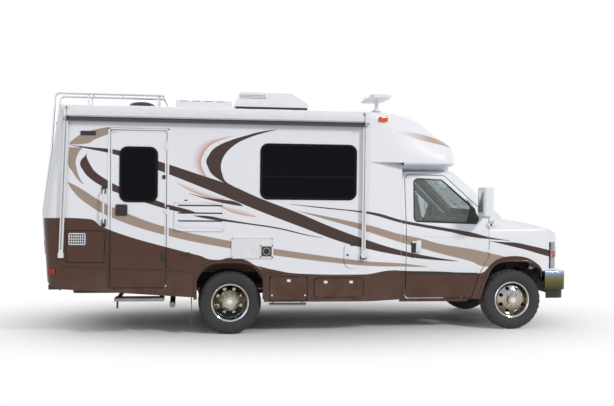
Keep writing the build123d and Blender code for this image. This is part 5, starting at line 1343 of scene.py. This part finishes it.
def capSoffit():
    # the cap's lip rolls under and runs in to the cab's roof
    mesh = bmesh.new()
    rows = []
    for way, lip, roof in soffitSpots():
        row = [lip - way * inset + Vector((0, 0, z - lip.z)) for inset, z in soffitFacts["roll"]]
        end, foot = row[-1], roof - way * 0.008
        for step in (0.33, 0.67, 1):
            row.append(end.lerp(foot, step) + Vector((0, 0, 0.012 * math.sin(step * math.pi))))
        rows.append([mesh.verts.new(place) for place in row])
    for first, second in zip(rows, rows[1:]):
        for low in range(len(first) - 1):
            mesh.faces.new((first[low], first[low + 1], second[low + 1], second[low]))
    bmesh.ops.recalc_face_normals(mesh, faces=mesh.faces)
    lowest = min(mesh.faces, key=lambda face: face.calc_center_median().z)
    if lowest.normal.z > 0:
        bmesh.ops.reverse_faces(mesh, faces=mesh.faces)
    addWall(closePiece("capSoffit", mesh, coachPaint, smooth=50), 0.003)


def cornerPanels():
    # close the step from the coach's front edge in to the narrower cab
    mesh = bmesh.new()
    for side in (-1, 1):
        rows = []
        for index in range(15):
            z = 0.70 + index * 0.0955
            outer = surfacePoint("front_cap", sideRay(1.054, side, z))[0]
            inner = surfacePoint("cab_shell", sideRay(1.082, side, min(z, 1.950)))[0]
            if outer is not None and inner is not None and abs(outer.y) > abs(inner.y):
                rows.append([mesh.verts.new((1.0662, outer.y - side * 0.004, z)),
                             mesh.verts.new((1.0662, inner.y - side * 0.010, min(z, 1.975)))])
        for first, second in zip(rows, rows[1:]):
            face = mesh.faces.new((first[0], first[1], second[1], second[0]))
            face.normal_update()
            if face.normal.x < 0:
                face.normal_flip()
    addWall(closePiece("cornerPanels", mesh, trimPaint), 0.002)


for side, name in ((-1, "right"), (1, "left")):
    cabDoorTrim(side, name, "cab_door_" + name)
    mirrorTrim(side, name, "cab_door_" + name)
    fenderTrim(side, name)
capSoffit()
cornerPanels()
rimBead("fixed_glass", (0.8, 0, 0.6), 0.010, "screenBead", -0.002,
        lambda face: face.calc_center_median().x > 1.2)

headlampFacts = {"y": 0.72, "z": 0.96, "turnZ": 0.815}


def lampBowls():
    # bright rims in the corners of each headlamp
    mesh = bmesh.new()
    size = 0.075
    bowl = [(-0.055, 0.0), (-0.05, size * 0.35), (-0.03, size * 0.7), (-0.006, size), (-0.006, size + 0.006),
            (-0.06, size * 0.9), (-0.075, 0.0)]
    for side in (-1, 1):
        for y in (0.64, 0.80):
            place = surfacePoint("lamps", frontRay(side * y, 0.97))[0]
            if place is not None:
                spun(mesh, bowl, (place.x - 0.004, side * y, 0.97), "x", 28)
    closePiece("lampBowls", mesh, chrome)


def headlamps():
    amber, shades, mirrors, bulbs = bmesh.new(), bmesh.new(), bmesh.new(), bmesh.new()
    bulb = [(0.0, 0.070), (0.0045, 0.070), (0.0055, 0.062), (0.0045, 0.022), (0.0075, 0.018), (0.0085, 0.0)]
    for side in (-1, 1):
        upper = frontRay(side * headlampFacts["y"], headlampFacts["z"])
        lower = frontRay(side * headlampFacts["y"], headlampFacts["turnZ"])
        seatedSlab(amber, "lamps", frontRay(side * 0.90, 0.930), 0.085, 0.075, 0.004, 0.01, 0.001)
        seatedSlab(amber, "lamps", sideRay(3.055, side, 0.937), 0.075, 0.075, 0.004, 0.01, 0.001)
        seatedSlab(amber, "lamps", lower, 0.210, 0.042, 0.0034, 0.010, 0.0014)
        seatedSlab(shades, "lamps", upper, 0.225, 0.190, 0.0016, 0.03, 0.0006)
        seatedSlab(shades, "lamps", lower, 0.225, 0.055, 0.0016, 0.012, 0.0006)
        seatedSlab(mirrors, "lamps", upper, 0.208, 0.173, 0.0034, 0.026, 0.0014)
        place = surfacePoint("lamps", upper)[0]
        if place is not None:
            spun(bulbs, bulb, (place.x + 0.001, place.y, place.z), "x", 40)
    closePiece("lampShades", shades, blackPlastic)
    closePiece("lampReflectors", mirrors, mirrorSilver)
    closePiece("lampBulbs", bulbs, chrome)
    closePiece("turnLenses", amber, amberLens)


def bumperTrim():
    # a black sheet as painted shade behind the grille, bumper pads and a blank plate
    mesh = bmesh.new()
    slab(mesh, (3.060, -0.52, 0.782), (3.066, 0.52, 1.133), 0.01, axis="x")
    closePiece("grilleShade", mesh, blackPlastic)
    mesh = bmesh.new()
    for side in (-1, 1):
        seatedSlab(mesh, "front_bumper", frontRay(side * 0.58, 0.68), 0.34, 0.05, 0.002, 0.008, 0.001)
    closePiece("bumperPads", mesh, blackRubber)
    mesh = bmesh.new()
    seatedSlab(mesh, "front_bumper", frontRay(0.0, 0.60), 0.31, 0.16, 0.0009, 0.012, 0.0003)
    closePiece("plateFront", mesh, whitePlastic)


def wipers():
    mesh = bmesh.new()
    for start, reach in (((2.46, -0.55), (2.12, -0.12)), ((2.46, 0.10), (2.12, 0.55))):
        points = []
        for index in range(9):
            x, y = (low + (high - low) * index / 8 for low, high in zip(start, reach))
            place, normal = surfacePoint("fixed_glass", downRay(x, y))
            if place is None:
                place, normal = surfacePoint("cab_shell", downRay(x, y))
            if place is not None:
                points.append(place + normal * 0.016)
        if len(points) > 3:
            bar(mesh, points, 0.006, 2)
            pin(mesh, points[0] - Vector((0, 0, 0.03)), points[0] + Vector((0, 0, 0.006)), 0.016)
    closePiece("wipers", mesh, blackPlastic, smooth=50)


lampBowls()
headlamps()
bumperTrim()
wipers()

wheelFacts = {
    # x of the axle, y of each wheel's middle from the outer one inwards
    "front": (frontAxleX, (0.8815,)), "rear": (rearAxleX, (1.016, 0.762)),
    "rimHalf": 0.0895, "nuts": 8, "nutCircle": 0.0825}
# half of a tyre's section from its bead to the middle groove, as (along the axle, out from it)
tyreHalf = [(-0.080, 0.2055), (-0.0835, 0.222), (-0.104, 0.250), (-0.1115, 0.290), (-0.108, 0.325),
            (-0.101, 0.345), (-0.092, 0.358), (-0.086, 0.3625), (-0.062, 0.3672), (-0.060, 0.3585),
            (-0.053, 0.3585), (-0.051, 0.3675), (-0.022, 0.368), (-0.020, 0.3588), (-0.012, 0.3588),
            (-0.010, 0.368)]
shoulderStrips = 96


def wheelTrim(body, rims, x, side, outerY):
    # lug nuts, hub cap, a bright lip round the rim, and the valve
    mesh = bmesh.new()
    for index in range(wheelFacts["nuts"]):
        angle = math.tau * index / wheelFacts["nuts"]
        reach = wheelFacts["nutCircle"]
        for place in tracedPoints(rims, [sideRay(x + reach * math.cos(angle), side,
                                                 wheelZ + reach * math.sin(angle))]):
            shoulder = place + Vector((0, side * 0.020, 0))
            pin(mesh, place, shoulder, 0.013, 6, 0.011)
            pin(mesh, shoulder, place + Vector((0, side * 0.028, 0)), 0.010, 12, 0.005)
    hub = surfacePoint(rims, sideRay(x, side, wheelZ))[0]
    spun(mesh, [(side * 0.002, 0.0), (side * 0.001, 0.03), (-side * 0.004, 0.05), (-side * 0.016, 0.058),
                (-side * 0.03, 0.060)], (x, hub.y, wheelZ), "y", 36)
    edgeY = side * (outerY + wheelFacts["rimHalf"])
    spun(mesh, [(0.0, 0.212), (side * 0.004, 0.215), (side * 0.005, 0.219), (side * 0.002, 0.223),
                (-side * 0.004, 0.223)], (x, edgeY, wheelZ), "y", 72)
    closePiece("nuts." + body, mesh, chrome, body, slot="wheel_chrome", smooth=40)
    mesh = bmesh.new()
    bar(mesh, [(x + 0.165, edgeY - side * 0.03, wheelZ + 0.06),
               (x + 0.150, edgeY - side * 0.008, wheelZ + 0.055)], 0.004, 2)
    closePiece("valve." + body, mesh, blackRubber, body, smooth=50)


def onShoulder(place):
    strip = int(math.atan2(place.z, place.x) % math.tau / math.tau * shoulderStrips)
    return abs(place.y) > 0.063 and math.hypot(place.x, place.z) > 0.350 and strip % 3 == 0


def treadedTyre(node, material, body, x, middles):
    # a tyre with grooves and shoulder blocks in place of the plain ring
    profile = tyreHalf + [(-along, out) for along, out in reversed(tyreHalf)] + tyreHalf[:1]
    mesh = bmesh.new()
    for y in middles:
        part = spunPart(profile, (0, 0, 0), "y", shoulderStrips)
        # every third strip of the shoulders sinks between the blocks
        sunk = [f for f in part.faces if onShoulder(f.calc_center_median())]
        grown = bmesh.ops.extrude_face_region(part, geom=sunk)
        bmesh.ops.delete(part, geom=sunk, context="FACES")
        for vert in [item for item in grown["geom"] if isinstance(item, bmesh.types.BMVert)]:
            vert.co -= Vector((vert.co.x, 0, vert.co.z)).normalized() * 0.007
        bmesh.ops.recalc_face_normals(part, faces=part.faces)
        bmesh.ops.translate(part, vec=(x, y, wheelZ), verts=part.verts)
        addPart(mesh, part)
    piece = closePiece(node + ".treaded", mesh, material, body, slot="tyre_rubber", smooth=35)
    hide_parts(node)


for side, name in ((-1, "right"), (1, "left")):
    for end, material, rims, tyres, wheels in (
            ("front", frontRubber, "front_rim_", "front_tyre_", "front_wheel_"),
            ("rear", rearRubber, "rear_rims_", "rear_tyres_", "rear_wheels_")):
        x, middles = wheelFacts[end]
        wheelTrim(wheels + name, rims + name, x, side, middles[0])
        treadedTyre(tyres + name, material, wheels + name, x, [side * y for y in middles])

softFacts = {
    # mesh size of the simulation, how far a point may swell, how much the solid shrinks first, the piped
    # seams as shares of the thickness, and the axis that runs through the pad, or none for the thinnest
    "cab_seats": {"voxel": 0.014, "swell": 0.014, "shrink": 0.012, "seams": (0.37, -0.37), "through": 1,
                  "cloth": seatCloth},
    "coach_cushions": {"voxel": 0.012, "swell": 0.012, "shrink": 0.010, "seams": (0.36, -0.36),
                       "through": None, "cloth": dinetteCloth}}
swellFrames = 20
pipingRadius = 0.0035


def middleOf(part):
    return [sum(vert.co[axis] for vert in part.verts) / len(part.verts) for axis in range(3)]


def islandsOf(node):
    # each closed solid of a node as its own bmesh
    work = mergedNode(node, flat=False)
    left = set(work.verts)
    islands = []
    while left:
        start = left.pop()
        found, edge = {start}, [start]
        while edge:
            for link in edge.pop().link_edges:
                for vert in link.verts:
                    if vert not in found:
                        found.add(vert)
                        edge.append(vert)
        left -= found
        part = bmesh.new()
        copies = {vert: part.verts.new(vert.co) for vert in found}
        for face in {face for vert in found for face in vert.link_faces}:
            part.faces.new([copies[vert] for vert in face.verts])
        bmesh.ops.recalc_face_normals(part, faces=part.faces)
        islands.append(part)
    work.free()
    return sorted(islands, key=lambda part: tuple(round(value, 3) for value in middleOf(part)))


def appliedMesh(piece):
    # the mesh as its modifiers make it, with the modifiers gone
    data = bpy.data.meshes.new_from_object(piece.evaluated_get(bpy.context.evaluated_depsgraph_get()))
    piece.modifiers.clear()
    piece.data = data
    return data


def shrunk(part, low, high, inset):
    for vert in part.verts:
        for axis in range(3):
            middle = (low[axis] + high[axis]) / 2
            vert.co[axis] = middle + (vert.co[axis] - middle) * (1 - 2 * inset / (high[axis] - low[axis]))


def swollenPad(name, part, facts):
    # remeshed, then blown up as cloth, with every point held near where it began
    data = bpy.data.meshes.new(name)
    part.to_mesh(data)
    part.free()
    piece = bpy.data.objects.new(name, data)
    bpy.context.scene.collection.objects.link(piece)
    remesh = piece.modifiers.new("even", "REMESH")
    remesh.mode = "VOXEL"
    remesh.voxel_size = facts["voxel"]
    data = appliedMesh(piece)
    began = [vert.co.copy() for vert in data.vertices]
    cloth = piece.modifiers.new("cloth", "CLOTH")
    cloth.settings.use_pressure = True
    cloth.settings.uniform_pressure_force = 4
    cloth.settings.effector_weights.gravity = 0
    cloth.point_cache.frame_start = 1
    cloth.point_cache.frame_end = swellFrames
    for number in range(1, swellFrames + 1):
        bpy.context.scene.frame_set(number)
    data = appliedMesh(piece)
    bpy.context.scene.frame_set(1)
    for vert, start in zip(data.vertices, began):
        move = vert.co - start
        if move.length > facts["swell"]:
            vert.co = start + move.normalized() * facts["swell"]
    return piece


def seamLoop(data, place, normal, target):
    # a piped seam where a plane meets the pad
    work = bmesh.new()
    work.from_mesh(data)
    cut = cutAcross(work, place, normal)["geom_cut"]
    for points in loopsOf(work, [item for item in cut if isinstance(item, bmesh.types.BMEdge)]):
        count = len(points)
        if count > 11:
            eased = [sum((points[(index + step) % count] for step in range(-2, 3)), Vector()) / 5
                     for index in range(0, count, 2)]
            bar(target, eased, pipingRadius, 2, cyclic=True)
    work.free()


def makePads():
    for node, facts in softFacts.items():
        body = bodyOf(node)
        for number, part in enumerate(islandsOf(node)):
            name = node + ".pad" + str(number)
            low = [min(vert.co[axis] for vert in part.verts) for axis in range(3)]
            high = [max(vert.co[axis] for vert in part.verts) for axis in range(3)]
            shrunk(part, low, high, facts["shrink"])
            piece = swollenPad(name, part, facts)
            sizes = [high[axis] - low[axis] for axis in range(3)]
            through = sizes.index(min(sizes)) if facts["through"] is None else facts["through"]
            normal = Vector([float(axis == through) for axis in range(3)])
            middle = (Vector(low) + Vector(high)) / 2
            piping = bmesh.new()
            for share in facts["seams"]:
                seamLoop(piece.data, middle + normal * sizes[through] * share, normal, piping)
            closePiece(name + ".piping", piping, facts["cloth"], body, materialSlots[node], 80)
            for polygon in piece.data.polygons:
                polygon.use_smooth = True
            piece.data.materials.clear()
            piece.data.materials.append(facts["cloth"])
            smooth = piece.modifiers.new("soft", "SUBSURF")
            smooth.levels = smooth.render_levels = 1
            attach(piece, body)
            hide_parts(node)


makePads()
print("details added")


cameraFacts = {"place": (-1.476, -11.122, 1.701), "yaw": 7.78, "pitch": -0.86, "roll": 0.66, "lens": 50.0}


def makeCamera():
    yaw, pitch, roll = (math.radians(cameraFacts[key]) for key in ("yaw", "pitch", "roll"))
    forward = Vector((math.sin(yaw) * math.cos(pitch), math.cos(yaw) * math.cos(pitch), math.sin(pitch)))
    right = Vector((math.cos(yaw), -math.sin(yaw), 0))
    up = right.cross(forward)
    rolledRight = right * math.cos(roll) + up * math.sin(roll)
    rolledUp = up * math.cos(roll) - right * math.sin(roll)
    turn = Matrix((rolledRight, rolledUp, -forward)).transposed().to_4x4()
    camera = bpy.data.objects.new("camera", bpy.data.cameras.new("camera"))
    camera.data.lens = cameraFacts["lens"]
    camera.data.sensor_width = 36
    camera.matrix_world = Matrix.Translation(cameraFacts["place"]) @ turn
    bpy.context.scene.collection.objects.link(camera)
    bpy.context.scene.camera = camera


floorFacts = {"size": 12, "reach": (5.4, 3.1), "solid": 0.40,
              "shade": (250, 250, 250), "patches": (246, 246, 246)}
worldFacts = {"glow": (0.93, 0.95, 1, 1), "strength": 0.46, "backdrop": (1, 1, 1, 1)}


def mixShaders(tree, mask, first, second):
    mix = addNode(tree, "ShaderNodeMixShader")
    for index, item in enumerate((mask, first, second)):
        plug(tree, mix.inputs[index], item)
    output = next(node for node in tree.nodes if node.type.startswith("OUTPUT"))
    tree.links.new(mix.outputs[0], output.inputs[0])


def makeFloor():
    mesh = bmesh.new()
    bmesh.ops.create_grid(mesh, x_segments=1, y_segments=1, size=floorFacts["size"])
    data = bpy.data.meshes.new("floor")
    mesh.to_mesh(data)
    mesh.free()
    floor = bpy.data.objects.new("floor", data)
    bpy.context.scene.collection.objects.link(floor)
    material, tree, shader, place = startMaterial("paleFloor")
    feed(tree, shader, {
        "Base Color": mixColour(tree, noiseOf(tree, place["Object"], 3), paint(*floorFacts["shade"]),
                                paint(*floorFacts["patches"])),
        "Roughness": 0.9, "Specular IOR Level": 0.1})
    # the floor thins out to the white behind it
    split = splitOf(tree, place["Object"])
    squares = [mathOf(tree, "POWER", mathOf(tree, "DIVIDE", split[axis], reach), 2)
               for axis, reach in zip("XY", floorFacts["reach"])]
    reach = mathOf(tree, "SQRT", mathOf(tree, "ADD", *squares))
    clear = addNode(tree, "ShaderNodeBsdfTransparent")
    thinned = ramp(tree, reach, floorFacts["solid"], 1.0, smooth=True)
    mixShaders(tree, thinned, shader.outputs[0], clear.outputs[0])
    floor.data.materials.append(material)
    floor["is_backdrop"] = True


def makeWorld():
    # a soft glow lights the scene, and white is what the camera and reflections see
    world = bpy.data.worlds.new("studio")
    bpy.context.scene.world = world
    world.use_nodes = True
    tree = world.node_tree
    tree.nodes.clear()
    addNode(tree, "ShaderNodeOutputWorld")
    soft = feed(tree, addNode(tree, "ShaderNodeBackground"),
                {"Color": worldFacts["glow"], "Strength": worldFacts["strength"]})
    white = feed(tree, addNode(tree, "ShaderNodeBackground"),
                 {"Color": worldFacts["backdrop"], "Strength": 1})
    path = addNode(tree, "ShaderNodeLightPath").outputs
    seen = mathOf(tree, "MAXIMUM", path["Is Glossy Ray"], path["Is Transmission Ray"])
    seen = mathOf(tree, "MAXIMUM", path["Is Camera Ray"], seen)
    mixShaders(tree, seen, soft.outputs[0], white.outputs[0])


def softLight(name, place, target, size, power, colour=(1, 1, 1)):
    lamp = bpy.data.objects.new(name, bpy.data.lights.new(name, "AREA"))
    lamp.data.size = size
    lamp.data.energy = power
    lamp.data.color = colour
    lamp.location = place
    lamp.rotation_euler = (Vector(target) - Vector(place)).to_track_quat("-Z", "Y").to_euler()
    bpy.context.scene.collection.objects.link(lamp)


makeCamera()
makeFloor()
makeWorld()
softLight("keyLight", (12.6, -14.7, 12.9), (0, -1, 1), 3.4, 2250, (1, 0.985, 0.96))
softLight("fillLight", (-8, -8, 5), (-1, 0, 1), 6, 190)
softLight("skyLight", (-1, 8.5, 6.5), (0, 1, 1.5), 7, 330)
bpy.context.scene.view_settings.view_transform = "Standard"

[[list(corner) for corner in box] for box in (cadBox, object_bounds())]
print("scene ready")
